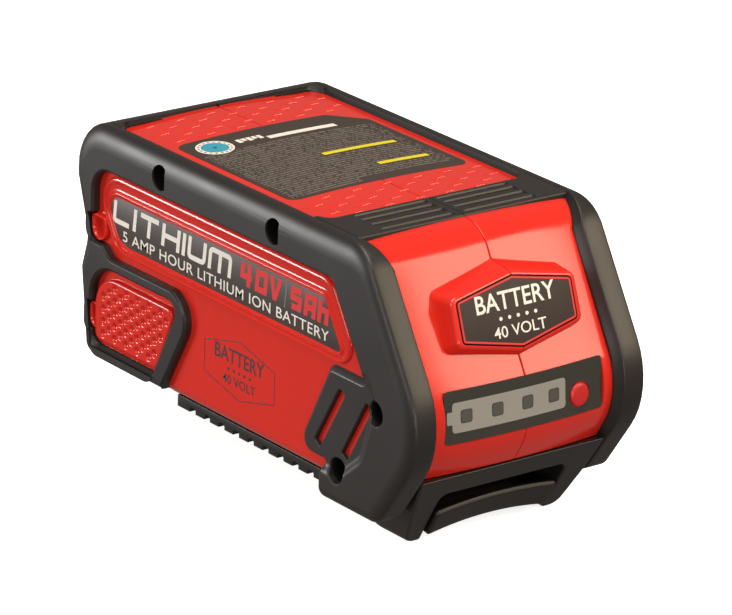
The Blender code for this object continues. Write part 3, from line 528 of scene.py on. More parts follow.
def guard_top():
    """Grid over the rear top corner: the bumpers' side outline at each x, from the top edge to the rear."""
    xs = np.concatenate([np.linspace(RIM_X, RIM_X + SEAM, 4), np.linspace(-41.0, -36.2, 8),
                         np.linspace(-35, -1, 12), [-0.5, -0.3, -0.16, PART_X]])
    lips = np.interp(-xs, [0.12, 0.16, 0.3, 0.5], [0.35, 0.18, 0.05, 0])
    rows = []
    for x, lip in zip(xs, lips):
        fall = shoulder(x) + lip
        outline = rounded(inset([c for c, _ in WRAPS + NOTCH + REAR], fall), steps=14, straight=0)
        front = GUARD_FRONT - corner_fill(x)
        edge = [(front + on, BAND_TOP - fall - down)
                for on, down in ((0, 0.8), (0.05, 0.35), (0.35, 0.03), (0.8, 0))]
        arc = outline[:15][::-1]
        low = [(95.5 - fall, 83.4), (93.9 - fall, 77.0), (93.5 - fall, 76.2), (92.8 - fall, 76.0)]
        rows.append([(x, y, z) for y, z in edge + arc.tolist() + low])
    return np.array(rows)


for side, half in (("left", 1), ("right", -1)):
    strip = block(strip_top(), (0, 0, -1.8))
    guard = block(guard_top(), (0, -1.2, -1.2))
    for name, parts in (("ribbed_strip_", strip), ("rear_guard_", guard)):
        piece(name + side, parts if half > 0 else mirrored(parts), black)

# ------------------------------------------------------------------ raised dashes on the red top
# Small moulded wedges, 7 mm long, in staggered rows either side of the top label, for grip.

DASH_LENGTH, DASH_WIDTH, DASH_HEIGHT, DASH_PITCH = 7.2, 0.95, 0.45, 12.4
DASH_ROWS = [72.6, 68.2, 63.8, 59.4, 55.0, -18.0, -22.4, -26.8, -31.2, -35.4]
DASH_START, DASH_END, DASH_REACH = -33.5, 36.0, 39.2


def top_z(x):
    """Height of the crowned red top at x."""
    return 100.9 - crown(CASE_CROWN[0], x)


def dash(x, y):
    """Wedge that rises along X and drops at its far end: rise(u) times the root of 1 - v squared."""
    u, v = np.meshgrid([0, 0.06, 0.2, 0.4, 0.6, 0.8, 0.93, 0.985, 1.0], np.linspace(-1, 1, 7),
                       indexing="ij")
    rise = np.interp(u, [0, 0.06, 0.8, 0.93, 0.985, 1.0], [0, 0.3, 0.9, 1.0, 0.6, 0])
    px = x + (u - 0.5) * DASH_LENGTH
    height = top_z(px) - 0.05 + DASH_HEIGHT * rise * np.sqrt(np.clip(1 - v ** 2, 0, 1))
    return block(np.stack([px, y + v * DASH_WIDTH / 2, height], -1), (0, 0, -0.5))


dashes = []
for row, y in enumerate(DASH_ROWS):
    for x in np.arange(DASH_START + (row % 2) * DASH_PITCH / 2, DASH_END, DASH_PITCH):
        if abs(x) + DASH_LENGTH / 2 < DASH_REACH:
            dashes += dash(x, y)
piece("grip_dashes", dashes, red, weld=0.0005)

# ------------------------------------------------------------------ side labels with their raised borders
# A dark printed film in a recess on each side, framed by two beads moulded in the red case, with catch ears
# at the rear end.

SIDE_LABEL = [(79.8, 78.2, 5.0), (-44.4, 78.2, 1.5), (-54.6, 61.7, 1.5), (70.0, 61.7, 8.0)]
BORDER_REACH = np.array([1.3, 1.25, 0.55, 0.5])  # width of the border on each edge, a share of its profile
BORDER = [(-0.3, -0.4), (-0.3, 0.1), (0.2, 0.3), (0.65, 0.84), (0.85, 0.93), (1.05, 0.88), (1.6, 0.35),
          (2.1, 0.12), (3.0, 0.1), (3.7, 0.4), (4.2, 0.96), (4.4, 1.08), (4.65, 1.06), (5.2, 0.88),
          (5.6, 0.5), (5.8, 0.05), (5.8, -0.4), (-0.3, -0.4)]
EARS = [[(85.1, 69.4, 1.8), (85.1, 60.5, 4.4), (76.6, 60.5, 4.2), (76.6, 69.4, 1.8)],
        [(85.7, 37.6, 1.8), (85.7, 28.6, 3.2), (79.0, 28.6, 3.0), (79.0, 37.6, 1.8)]]
EAR_CUP = [(0, 44.2), (0, 45.9), (0.12, 46.2), (0.35, 46.35), (0.62, 46.3), (0.85, 46.0), (1.1, 44.9),
           (1.5, 44.75)]
LABEL_BACK, LABEL_FRONT = 44.3, 44.72
LABEL_DARK = (0.042, 0.031, 0.025)


def slab(corners, low, high, edge=0.08, steps=8):
    """Closed thin plate across X, its upper edge eased; low and high are distances out from the middle."""
    rows = []
    for fall, out in ((0, low), (0, high - edge), (edge * 0.3, high - edge * 0.3), (edge, high)):
        rows.append(at_x(-out, rounded(inset(corners, fall), steps=steps)))
    return capped(np.stack(rows))


border = np.stack([at_x(-CASE_HALF - height, rounded(inset(SIDE_LABEL, -offset * BORDER_REACH), 10, 12))
                   for offset, height in BORDER])
ears = []
for corners in EARS:
    ears += capped(np.stack([at_x(-out, rounded(inset(corners, fall), steps=10)) for fall, out in EAR_CUP]))
film = plastic("label_film", LABEL_DARK, 0.5, grain=0.04, mottle=0.05)
for side, flip in (("left", False), ("right", True)):
    turned_over = mirrored if flip else list
    label = turned_over(slab(SIDE_LABEL, LABEL_BACK, LABEL_FRONT))
    label = piece("label_film_" + side, label, film)
    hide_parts("side_label_" + side)
    piece("label_border_" + side, turned_over([ribbon(border)]), red)
    piece("catch_ears_" + side, turned_over(ears), red)

# ------------------------------------------------------------------ dimpled thumb pads
# A raised red pad in the lower window on each side, with staggered round dimples to grip it by.

THUMB_PAD = [(82.9, 48.6, 12.0), (35.4, 48.6, 3.4), (46.0, 24.8, 3.4), (82.9, 24.8, 3.2)]
PAD_OUT, DIMPLE_R, DIMPLE_DEPTH, DIMPLE_Y, DIMPLE_Z = 46.3, 1.5, 1.0, 3.35, 2.25
DIMPLE_START = (44.0, 27.9)


def dimples(points):
    """Depth at points (y, z): a bowl, depth times a smooth fall from its middle, at each staggered place."""
    column = np.round((points[:, 0] - DIMPLE_START[0]) / DIMPLE_Y)
    row = np.round((points[:, 1] - DIMPLE_START[1]) / DIMPLE_Z)
    depth = np.zeros(len(points))
    for dc in (-1, 0, 1):
        for dr in (-1, 0, 1):
            c, r = column + dc, row + dr
            at = np.column_stack([DIMPLE_START[0] + c * DIMPLE_Y, DIMPLE_START[1] + r * DIMPLE_Z])
            clear = inside(at, rounded(inset(THUMB_PAD, 2.6))) & ((c + r) % 2 == 0)
            share = np.clip(1 - np.linalg.norm(points - at, axis=1) / DIMPLE_R, 0, 1)
            bowl = DIMPLE_DEPTH * np.clip(1 - (1 - share) ** 2.6, 0, 1)
            depth = np.maximum(depth, np.where(clear, bowl, 0))
    return depth


pad_rows = []
for fall, out in ((0, LABEL_BACK), (0, 45.4), (0.12, 45.85), (0.4, 46.15), (0.8, 46.27), (1.25, PAD_OUT)):
    pad_rows.append(at_x(-out, rounded(inset(THUMB_PAD, fall), steps=12, straight=30)))
y, z = np.meshgrid(np.arange(36, 83, 0.34), np.arange(25, 49, 0.34))
seeds = np.column_stack([y.ravel(), z.ravel()])
seeds = seeds[inside(seeds, rounded(inset(THUMB_PAD, 1.6), steps=12, straight=30))]
flat, triangles = filled([pad_rows[-1][:, 1:]], seeds)
pad_face = (at_x(-PAD_OUT + dimples(flat), flat), triangles)
flat, triangles = filled([pad_rows[0][:, 1:]])
pad_back = (at_x(-LABEL_BACK, flat), triangles)
pad = [ribbon(np.stack(pad_rows)), pad_face, pad_back]
piece("thumb_pad_left", pad, red, smooth=60)
piece("thumb_pad_right", mirrored(pad), red, smooth=60)

# ------------------------------------------------------------------ top label
# A dark printed film on the red top: a round mark, a pale bar, rows of fine print and two yellow blocks, all
# of it plain shapes.

TOP_LABEL = [(-36.5, -14.5, 4.0), (36.5, -14.5, 4.0), (36.5, 41.0, 2.0), (25.5, 51.5, 2.0),
             (-36.5, 51.5, 4.0)]
FILM, PRINT = 0.12, 0.05  # thickness of a label and of the ink on it
DISC = (-26.4, 42.3)


def on_top(parts, lift):
    """Parts given flat as (x, y) and a height, laid on the crowned top, lifted by lift and their height."""
    return [(points + np.column_stack([points[:, :2] * 0, top_z(points[:, 0]) + lift]), faces)
            for points, faces in parts]


def flat_shape(loops, thick=PRINT, seeds=None):
    """Closed thin plate in (a, b) with holes: both faces and the walls between, height the third value."""
    flat, triangles = filled(loops, seeds)
    zero, full = np.zeros((len(flat), 1)), np.full((len(flat), 1), thick)
    parts = [(np.hstack([flat, zero]), triangles), (np.hstack([flat, full]), triangles)]
    for loop in loops:
        parts.append(ribbon(np.stack([np.insert(loop, 2, 0, 1), np.insert(loop, 2, thick, 1)])))
    return parts


def circle(a, b, radius, sides=40):
    angle = np.linspace(0, 2 * math.pi, sides, endpoint=False)
    return np.column_stack([a + radius * np.cos(angle), b + radius * np.sin(angle)])


def bar(a0, b0, a1, b1):
    """Plain rectangle, cut across every 2 mm so that it can follow a crowned face."""
    along = np.linspace(a0, a1, max(2, int((a1 - a0) / 2)))
    return np.concatenate([np.column_stack([along, np.full(len(along), b0)]),
                           np.column_stack([along[::-1], np.full(len(along), b1)])])


def ink(name, colour, roughness=0.45):
    return plastic(name, colour, roughness, mottle=0.06)


a, b = np.meshgrid(np.arange(-34, 36, 3.0), np.arange(-12, 51, 6.0))
seeds = np.column_stack([a.ravel(), b.ravel()])
seeds = seeds[inside(seeds, rounded(inset(TOP_LABEL, 1.0)))]
top_film = on_top(flat_shape([rounded(TOP_LABEL, straight=24)], FILM, seeds), 0.0)
top_film = piece("top_label_film", top_film, film)
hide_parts("top_label")
off_white, grey_ink = ink("off_white_ink", (0.80, 0.76, 0.70)), ink("grey_ink", (0.20, 0.175, 0.15))
teal_ink, yellow_ink = ink("teal_ink", (0.03, 0.32, 0.46)), ink("yellow_ink", (0.72, 0.62, 0.02))
rim_dots = [circle(DISC[0] + 5.55 * math.cos(t), DISC[1] + 5.55 * math.sin(t), 0.45, 10)
            for t in np.linspace(0, 2 * math.pi, 18, endpoint=False)]
white = flat_shape([circle(*DISC, 6.6), circle(*DISC, 4.75)] + rim_dots)
white += flat_shape([bar(-5.8, 39.4, 22.0, 42.0)])
for k in range(5):
    white += flat_shape([bar(-17.0 + 2.1 * k, 41.2 + (k % 2) * 0.9, -15.4 + 2.1 * k, 44.4)])
teal = flat_shape([circle(*DISC, 4.6), circle(*DISC, 0.7)])
yellow = flat_shape([bar(-1.0, 15.6, 29.0, 17.8)]) + flat_shape([bar(9.0, -1.6, 29.5, 0.6)])
for name, parts, finish in (("white", white, off_white), ("teal", teal, teal_ink),
                            ("yellow", yellow, yellow_ink)):
    piece("top_print_" + name, on_top(parts, FILM), finish)


def fine_print(draw):
    """Rows of small upright blocks with gaps between words, one quad each, where the label has room."""
    a, b = np.meshgrid(np.arange(-34.5, 34.5, 0.62), np.arange(36.0, -13.0, -1.72))
    b = b + 0 * a
    kept = (draw.random(a.shape) > 0.2) & (np.hypot(a - DISC[0], b - DISC[1]) > 7.6)
    kept &= ~((a > -2.2) & (a < 30) & (abs(b - 16.7) < 2.0))
    kept &= ~((a > 7.8) & (a < 30.5) & (abs(b + 0.5) < 2.0))
    kept &= ~((b < -9.6) & (a > -6)) & (a < 34.0 - 6 * draw.random(a.shape) ** 4)
    a, b = a[kept], b[kept]
    wide, tall = 0.2 + 0.08 * draw.random(len(a)), 0.34 + 0.16 * draw.random(len(a))
    corners = np.stack([np.stack([a + wide * p, b + tall * q], 1)
                        for p, q in ((-1, -1), (1, -1), (1, 1), (-1, 1))], 1)
    points = np.insert(corners.reshape(-1, 2), 2, PRINT, 1)
    return [(points, np.arange(len(points)).reshape(-1, 4))]


fine = on_top(fine_print(np.random.default_rng(7)), FILM)
piece("top_print_fine", fine, grey_ink, weld=0.0001)

# ------------------------------------------------------------------ side lettering and the printed hexagon
# Screen-printed plain words: the kind of battery and its rating on the label, and a thin hexagon with two
# plain words on the red below it.

SIDE_TILT = 0.12  # slant of the big word and the rating, mm for each mm of height
BIG_FOOT, BIG_HEIGHT = 68.7, 8.0
RIGHT_CLOSE, RIGHT_BIG, RIGHT_SMALL = 0.97, 27.0, 20.5


def lettering(words, weight=0.0, spacing=1.0):
    """Plain letters as closed thin solids: a, b and height each run from 0 to 1 over the words."""
    curve = bpy.data.curves.new("words", "FONT")
    curve.body, curve.offset, curve.extrude, curve.space_character = words, weight, 0.05, spacing
    curve.resolution_u = 4
    holder = bpy.data.objects.new("words", curve)
    bpy.context.scene.collection.objects.link(holder)
    graph = bpy.context.evaluated_depsgraph_get()
    graph.update()
    mesh = bpy.data.meshes.new_from_object(holder.evaluated_get(graph))
    mesh.calc_loop_triangles()
    points = np.zeros(len(mesh.vertices) * 3)
    mesh.vertices.foreach_get("co", points)
    triangles = np.zeros(len(mesh.loop_triangles) * 3, np.int32)
    mesh.loop_triangles.foreach_get("vertices", triangles)
    bpy.data.objects.remove(holder, do_unlink=True)
    points = points.reshape(-1, 3)
    low, high = points.min(0), points.max(0)
    return [((points - low) / (high - low), triangles.reshape(-1, 3))]


def stroke(points, width, ease=0.0):
    """Outline of a line of one width through points (a, b), mitred, its corners first eased by an arc."""
    path = [np.array(points[0], float)]
    for before, corner, after in zip(points, points[1:], points[2:]):
        before, corner, after = np.array(before, float), np.array(corner, float), np.array(after, float)
        start, end = corner + unit(before - corner) * ease, corner + unit(after - corner) * ease
        for t in np.linspace(0, 1, 6 if ease else 1):
            path.append(start * (1 - t) ** 2 + corner * 2 * t * (1 - t) + end * t * t)
    path = np.array(path + [np.array(points[-1], float)])
    along = unit(np.diff(path, axis=0))
    normal = np.column_stack([-along[:, 1], along[:, 0]])
    first, second = np.vstack([normal[:1], normal]), np.vstack([normal, normal[-1:]])
    out = (first + second) / (1 + (first * second).sum(1, keepdims=True)) * width / 2
    return np.concatenate([path + out, (path - out)[::-1]])


def drawn(words, a, width, heavy, gap, ease=0.0):
    """Big square-built letters from a on: each one's centre lines on a unit square, width its breadth."""
    b, height = BIG_FOOT, BIG_HEIGHT
    side, level = heavy / 2 / width, heavy / 2 / (height - heavy)
    low, high, under = -level, 1 + level, 1 - level
    shapes = {"L": [[(0, high), (0, 0), (1, 0)]], "I": [[(0, low), (0, high)]],
              "T": [[(0, 1), (1.2, 1)], [(0.6, low), (0.6, under)]],
              "H": [[(0, low), (0, high)], [(1, low), (1, high)], [(side, 0.5), (1 - side, 0.5)]],
              "U": [[(0, high), (0, 0), (1, 0), (1, high)]],
              "M": [[(0, low), (0, 1), (1.3, 1), (1.3, low)], [(0.65, low), (0.65, under)]],
              "4": [[(0, high), (0, 0.4), (1.15, 0.4)], [(0.8, 0.4 + level), (0.8, high)],
                    [(0.8, low), (0.8, 0.4 - level)]],
              "0": [[(0.5, 1), (0, 1), (0, 0), (0.5, 0)], [(0.5, 0), (1, 0), (1, 1), (0.5, 1)]],
              "5": [[(1.1, 1), (0, 1), (0, 0.52), (1, 0.52), (1, 0), (0, 0)]],
              "A": [[(0, low), (0, 1), (1, 1), (1, low)], [(side, 0.38), (1 - side, 0.38)]],
              "h": [[(0, low), (0, high)], [(side, 0.62), (0.9, 0.62), (0.9, low)]]}
    wedge = [(-side, high), (0.5 - side, low), (0.5 + side, low), (1 + side, high), (1 - side, high),
             (0.5, 0.3), (side, high)]
    parts = []
    for letter in words:
        lines = [np.array(line) * (width, height - heavy) for line in shapes.get(letter, [wedge])]
        for line in lines:
            line = line + (a + heavy / 2, b + heavy / 2)
            parts += flat_shape([line if letter == "V" else stroke(line, heavy, ease)])
        ends = [line[:, 0].max() for line in lines]
        a += max(ends) + gap + (heavy / 2 if letter == "V" else heavy)
    return parts


def laid(parts, place):
    """Parts in (a, b, height) moved on to a surface by a function of the three."""
    return [(place(points), faces) for points, faces in parts]


def leaned(parts):
    """Parts slanted by the side's tilt for each mm above the foot of the big word."""
    return laid(parts, lambda p: p + (p[:, 1:2] - BIG_FOOT) * (SIDE_TILT, 0, 0))


def spread(parts, a, b, width, height):
    """Unit parts stretched over a box, as thick as ink."""
    return laid(parts, lambda p: p * (width, height, PRINT) + (a, b, 0))


def on_side(out):
    """Place for parts read from the left side: a runs forward, b up, and height out from the face."""
    return lambda p: np.column_stack([-out - p[:, 2], -p[:, 0], p[:, 1]])


def on_right_side(out):
    return lambda p: np.column_stack([out + p[:, 2], p[:, 0], p[:, 1]])


def hoop(corners, outer, inner):
    """Printed closed line between two insets of an outline."""
    return flat_shape([rounded(inset(corners, outer)), rounded(inset(corners, inner))])


def lockup(a, b, size):
    """A plain word over a row of dots over a second plain word, about (a, b), size being its width."""
    parts = spread(lettering("BATTERY", 0.012), -0.5, 0.03, 1.0, 0.185)
    parts += spread(lettering("40 VOLT", 0.004), -0.33, -0.245, 0.66, 0.115)
    for k in range(-2, 3):
        parts += flat_shape([circle(k * 0.11, -0.055, 0.02, 12)])
    return laid(parts, lambda p: p * (size, size, 1) + (a, b, 0))


red_ink, dark_ink = ink("red_ink", (0.66, 0.016, 0.016)), ink("dark_ink", (0.035, 0.018, 0.03))
word = leaned(drawn("LITHIUM", -74.8, 8.6, 1.75, 1.4, ease=1.5))
small = spread(lettering("5 AMP HOUR LITHIUM ION BATTERY", 0.003, 1.06), -68.6, 63.4, 115.6, 3.7)
rating = leaned(drawn("40V", -1.8, 4.6, 2.1, 0.9) + drawn("5Ah", 25.6, 4.2, 2.1, 0.9))
divider = leaned(flat_shape([bar(22.8, 68.0, 23.3, 77.4)]))
HEXAGON = [(-20.8, 43.7, 0.3), (-1.0, 48.4, 0.3), (18.4, 43.7, 0.3), (18.4, 32.6, 0.3), (-1.0, 27.9, 0.3),
           (-20.8, 32.6, 0.3)]
hexagon = hoop(HEXAGON, -0.14, 0.14) + lockup(-1.2, 38.8, 27.5)
LABEL_OUT = CASE_HALF + FILM
# On the right the film's slanted end comes first, so its words start further along and are a little closer.
for side, place, close, big_on, small_on in (("left", on_side, 1, 0, 0),
                                             ("right", on_right_side, RIGHT_CLOSE, RIGHT_BIG, RIGHT_SMALL)):
    words, figures, line = (laid(parts, lambda p: p * (close, 1, 1) + (on, 0, 0)) for parts, on in
                            ((word, big_on), (rating, big_on), (divider, big_on)))
    words += laid(small, lambda p: p * (close, 1, 1) + (small_on, 0, 0))
    for name, parts, out, finish, slot in (("word", words, LABEL_OUT, off_white, "label_dark"),
                                           ("rating", figures, LABEL_OUT, red_ink, "label_dark"),
                                           ("stroke", line, LABEL_OUT, grey_ink, "label_dark"),
                                           ("hexagon", hexagon, CASE_HALF, dark_ink, "case_red")):
        piece("side_%s_%s" % (name, side), laid(parts, place(out)), finish, weld=0.0002)

# ------------------------------------------------------------------ badge boss
# A raised hexagon moulded half on each case half, its face raked back, with rounded corners and drafted
# sides. A dark film with two plain words lies in its face.

BADGE_MIDDLE, BADGE_UP = np.array([0.0, -86.35, 77.6]), unit(np.array([0.0, 8.6, 24.0]))
BADGE_OUT = np.array([0.0, -BADGE_UP[2], BADGE_UP[1]])
BOSS_FACE = [(0.11, 12.75, 0.2), (24.9, 7.9, 2.6), (25.1, -7.4, 2.6), (0.11, -12.75, 0.2)]
BOSS_FOOT = [(0.11, 18.9, 0.2), (27.4, 12.2, 4.0), (29.2, -10.8, 4.0), (0.11, -17.4, 0.2)]
BOSS_DEPTH, BOSS_ROUND = 12.0, 0.9
BADGE_LABEL = [(0.0, 11.3, 0.6), (22.9, 6.7, 1.2), (22.9, -6.3, 1.2), (0.0, -11.3, 0.6), (-22.9, -6.3, 1.2),
               (-22.9, 6.7, 1.2)]


def on_badge(points):
    """Place on the badge face: a across, b up its slope, and height out along its normal."""
    return (BADGE_MIDDLE + points[:, :1] * (1, 0, 0) + points[:, 1:2] * BADGE_UP + points[:, 2:] * BADGE_OUT)


def stacked(levels):
    """Closed solid through outlines (a, b) of equal counts, each at its height, its ends filled."""
    rows = [np.insert(outline, 2, height, 1) for outline, height in levels]
    ends = []
    for outline, height in (levels[0], levels[-1]):
        flat, triangles = filled([outline])
        ends.append((np.insert(flat, 2, height, 1), triangles))
    return [ribbon(np.stack(rows))] + ends


draft = rounded(BOSS_FOOT, 8, 8) - rounded(BOSS_FACE, 8, 8)
levels = [(0.0, BOSS_ROUND + 0.4)]
levels += [(BOSS_ROUND * (1 - math.cos(t)), BOSS_ROUND * (1 - math.sin(t)))
           for t in np.radians(np.arange(0, 91, 11.25))]
levels += [(4.0, 0.0), (8.0, 0.0), (BOSS_DEPTH, 0.0)]
boss = []
for depth, fall in levels:
    outline = rounded(inset(BOSS_FACE, fall * np.array([1, 1, 1, 0.15])), 8, 8)
    boss.append((outline + draft * depth / BOSS_DEPTH, -depth))
boss = laid(stacked(boss), on_badge)
piece("badge_boss_right", boss, red)
piece("badge_boss_left", mirrored(boss), red)


def badge_plate(levels):
    """Closed plate in the badge's outline through levels of an inset and a height."""
    return laid(stacked([(rounded(inset(BADGE_LABEL, fall)), height) for fall, height in levels]), on_badge)


def on_film(points):
    return on_badge(points + (0, 0, FILM))


# A near-black, unreflective band just wider than the film, barely proud of the boss: painted shade for a
# groove round the film.
groove = badge_plate([(-0.45, -0.4), (-0.45, 0.03), (-0.33, 0.06)])
piece("badge_groove_painted_shade", groove, painted_shade_black)
badge_dark = plastic("badge_film", (0.030, 0.019, 0.015), 0.62, grain=0.04, mottle=0.05)
badge = badge_plate([(0, -0.4), (0, 0.09), (0.08, FILM)])
badge = piece("badge_film", badge, badge_dark)
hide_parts("badge_label")
piece("badge_red_line", laid(hoop(BADGE_LABEL, 0.15, 0.75), on_film), red_ink)
piece("badge_print", laid(lockup(0, 0.4, 32.0), on_film), off_white, weld=0.0002)

# ------------------------------------------------------------------ charge gauge
# A printed polycarbonate strip let into a pocket across the front, with a frosted window in the shape of a
# battery, four dark light windows, and the round button's hole.

GAUGE_MIDDLE, GAUGE_FRONT, GAUGE_LEAN = 48.9, -93.1, math.tan(math.radians(4.9))
OVERLAY = [(-32.0, 40.2, 1.5), (32.0, 40.2, 1.5), (32.0, 57.6, 1.5), (-32.0, 57.6, 1.5)]
WINDOW = [(-29.0, 53.7, 1.2), (16.0, 53.7, 1.2), (16.0, 43.7, 1.2), (-29.0, 43.7, 1.2), (-29.0, 46.6, 0.2),
          (-31.0, 46.6, 0.6), (-31.0, 50.8, 0.6), (-29.0, 50.8, 0.2)]
LIGHTS_X, LIGHTS_Z, LIGHT_HALF = (-23.7, -11.7, 0.3, 11.1), 48.8, 2.0
BUTTON_X, BUTTON_Z, BUTTON_R = 22.1, 46.6, 4.0


def on_front(points):
    """Place on the gauge's leaning, crowned face: a across, b up, and height out."""
    a, b, height = points.T
    y = GAUGE_FRONT + (b - GAUGE_MIDDLE) * GAUGE_LEAN + crown(CASE_CROWN[1], a) - height
    return np.column_stack([a, y, b])


def crowned(loops, thick, low=0.0):
    """Closed plate in (a, b) with points every 2 mm across it, ready to follow the crown."""
    a, b = np.meshgrid(np.arange(-34, 35, 2.0), np.arange(36, 62, 4.0))
    seeds = np.column_stack([a.ravel(), b.ravel()])
    near = np.concatenate(loops)
    clear = np.min(np.linalg.norm(seeds[:, None] - near[None], axis=2), axis=1) > 0.4
    for k, loop in enumerate(loops):
        clear &= inside(seeds, loop) == (k == 0)
    return [(points + (0, 0, low), faces) for points, faces in flat_shape(loops, thick, seeds[clear])]


pocket = crowned([rounded(inset(OVERLAY, -0.3), straight=30)], 7.0, -0.55)
for half in (case_left, case_right):
    cut(half, laid(pocket, on_front))
overlay_film = plastic("gauge_film", (0.036, 0.036, 0.030), 0.30, grain=0.05, mottle=0.04)
hole = circle(BUTTON_X, BUTTON_Z, BUTTON_R + 0.35)
overlay = piece("gauge_film", laid(crowned([rounded(OVERLAY, straight=30), hole], 0.45, -0.5), on_front),
                overlay_film)
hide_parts("gauge_overlay")
frosted = ink("frosted_window", (0.285, 0.28, 0.255), 0.35)
smoked = ink("smoked_window", (0.085, 0.08, 0.072), 0.2)
smoked_edge = ink("smoked_edge", (0.03, 0.028, 0.026), 0.3)
window = crowned([rounded(WINDOW, straight=20)], PRINT, -0.05)
piece("gauge_window", laid(window, on_front), frosted)
for name, grow, lift, finish in (("gauge_light_rims", 0.22, 0.0, smoked_edge),
                                 ("gauge_lights", 0, 0.04, smoked)):
    lights = []
    for x in LIGHTS_X:
        lights += flat_shape([rounded(square(x, LIGHTS_Z, LIGHT_HALF + grow, 0.9))])
    piece(name, laid(lights, lambda p: on_front(p + (0, 0, lift))), finish)

# ------------------------------------------------------------------ gauge button
# A red silicone dome that stands 0.9 mm proud of the gauge and presses straight in.

DOME = [(3.4, -2.6), (3.8, -2.5), (3.95, -2.2), (3.95, -0.1), (3.9, 0.2), (3.72, 0.48), (3.4, 0.66),
        (2.9, 0.77), (2.0, 0.84), (1.0, 0.87), (0.02, 0.88)]
levels = [(circle(BUTTON_X, BUTTON_Z, r, 48), h) for r, h in DOME]
button_red = plastic("button_red", (0.52, 0.018, 0.016), 0.36, grain=0.08, mottle=0.04)
button = piece("button_dome", laid(stacked(levels), on_front), button_red, body="button")
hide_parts("gauge_button")

# ------------------------------------------------------------------ slide base
# Glass-filled nylon, screwed under the case: two feet either side of a finger opening in front, and behind
# them the toothed rails. The rear part is the frame's own shape with its edges broken.

BASE_BLACK = (0.013, 0.0115, 0.011)
BASE_RIGHT = [(25.9, 19.2, 3.0), (25.2, 0.0, 0.9), (31.2, 0.0, 4.6), (35.4, 14.5, 9.0), (37.4, 27.0, 0.6)]
BASE_FRONT = [(-x, z, radius) for x, z, radius in BASE_RIGHT[::-1]] + BASE_RIGHT
BASE_ROUND, BASE_BACK, FOOT_BACK, FOOT_RISE = 0.9, -50.6, -59.5, 9.0


def base_front_y(z):
    return -88.4 + (27.0 - z) * 15.8 / 27.0


def base_back_y(z):
    """The feet's sloped back: straight up to the rails from where each foot leaves the ground."""
    return FOOT_BACK + np.clip(z / FOOT_RISE, 0, 1) * (BASE_BACK - FOOT_BACK)


base_rows, ends = [], []
turns = np.radians([0, 0, 18, 36, 54, 72, 90])
for k, turn in enumerate(turns):
    fall = BASE_ROUND * (1 - math.sin(turn)) + (0.3 if k == 0 else 0)
    x, z = rounded(inset(BASE_FRONT, fall), straight=8).T
    base_rows.append(np.column_stack([x, base_front_y(z) + BASE_ROUND * (1 - math.cos(turn)), z]))
x, z = rounded(BASE_FRONT, straight=8).T
base_rows.append(np.column_stack([x, base_back_y(z), z]))
for row, surface in ((base_rows[0], base_front_y), (base_rows[-1], base_back_y)):
    flat, triangles = filled([row[:, [0, 2]]])
    ends.append((np.column_stack([flat[:, 0], surface(flat[:, 1]), flat[:, 1]]), triangles))
base_black = plastic("base_black", BASE_BLACK, 0.42, grain=0.25, grain_size=3000.0, mottle=0.06)
base_front = piece("base_front", [ribbon(np.stack(base_rows))] + ends, base_black)


def cuboid(low, high):
    """Plain closed box between two corners, for cutting."""
    (x0, y0, z0), (x1, y1, z1) = low, high
    return stacked([(np.array([(x0, y0), (x1, y0), (x1, y1), (x0, y1)], float), z) for z in (z0, z1)])


def softened(node, name, width, finish_of):
    """A copy of a frame node, its doubles merged and its flat faces made whole, with every edge broken."""
    bm = bmesh.new()
    bm.from_mesh(frame["nodes"][node].data)
    bmesh.ops.remove_doubles(bm, verts=bm.verts, dist=2e-6)
    bmesh.ops.dissolve_limit(bm, angle_limit=math.radians(2), verts=bm.verts, edges=bm.edges)
    mesh = bpy.data.meshes.new(name)
    bm.to_mesh(mesh)
    bm.free()
    mesh.materials.clear()
    mesh.materials.append(finish_of)
    made = bpy.data.objects.new(name, mesh)
    bpy.context.scene.collection.objects.link(made)
    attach(made, "pack")
    step = made.modifiers.new("edges", "BEVEL")
    step.width, step.segments, step.limit_method, step.angle_limit = width * MM, 3, "ANGLE", math.radians(35)
    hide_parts(node)
    return made


rails = softened("slide_base", "slide_rails", 0.35, base_black)
for low, high in (((-60, -100, -5), (60, -58.6, 60)), ((25.3, -60, -5), (60, -50.7, 60)),
                  ((-60, -60, -5), (-25.3, -50.7, 60))):
    cut(rails, cuboid(low, high))
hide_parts("slide_base")
terminal_black = plastic("terminal_black", (0.012, 0.012, 0.013), 0.5, grain=0.15, mottle=0.05)
softened("terminal_block", "terminal_housing", 0.25, terminal_black)

# ------------------------------------------------------------------ release lever
# Acetal rocker in the finger opening: a curved lip to pull, a scooped paddle, and an arm to the rear that
# carries the hook. It turns on a steel pin.

LEVER_SIDE = [(-80.2, 12.5, 0.4), (-79.6, 13.8, 0.7), (-77.6, 13.6, 0.8), (-74.4, 8.6, 2.2),
              (-69.5, 7.6, 2.4), (-64.5, 12.0, 2.0), (-61.0, 12.4, 1.2), (-59.1, 10.8, 0.8),
              (-59.1, 7.4, 1.0), (-64.0, 4.6, 2.0), (-75.6, 2.3, 1.0)]
LIP_FALL = np.array([1.7, 1.7, 1.7, 0.6, 0, 0, 0, 0, 0, 0, 0])  # how much lower each corner is at the ends
LEVER_ARM = [(-62.0, 11.2, 0.5), (-40.2, 10.9, 0.5), (-41.6, 3.0, 1.0), (-43.3, 2.3, 0.8), (-44.8, 3.4, 0.8),
             (-45.6, 7.2, 1.0), (-62.0, 6.2, 0.5)]
LEVER_HALF, ARM_HALF, LEVER_ARCH = 24.6, 8.6, 2.4  # the last: how much the lower edge rises in the middle
lever_rows = []
spans = [(-LEVER_HALF, 0.75), (-24.45, 0.4), (-24.2, 0.16), (-23.8, 0.03), (-23.4, 0)]
spans += [(x, 0) for x in np.linspace(-21, 21, 15)] + [(-x, fall) for x, fall in spans[::-1]]
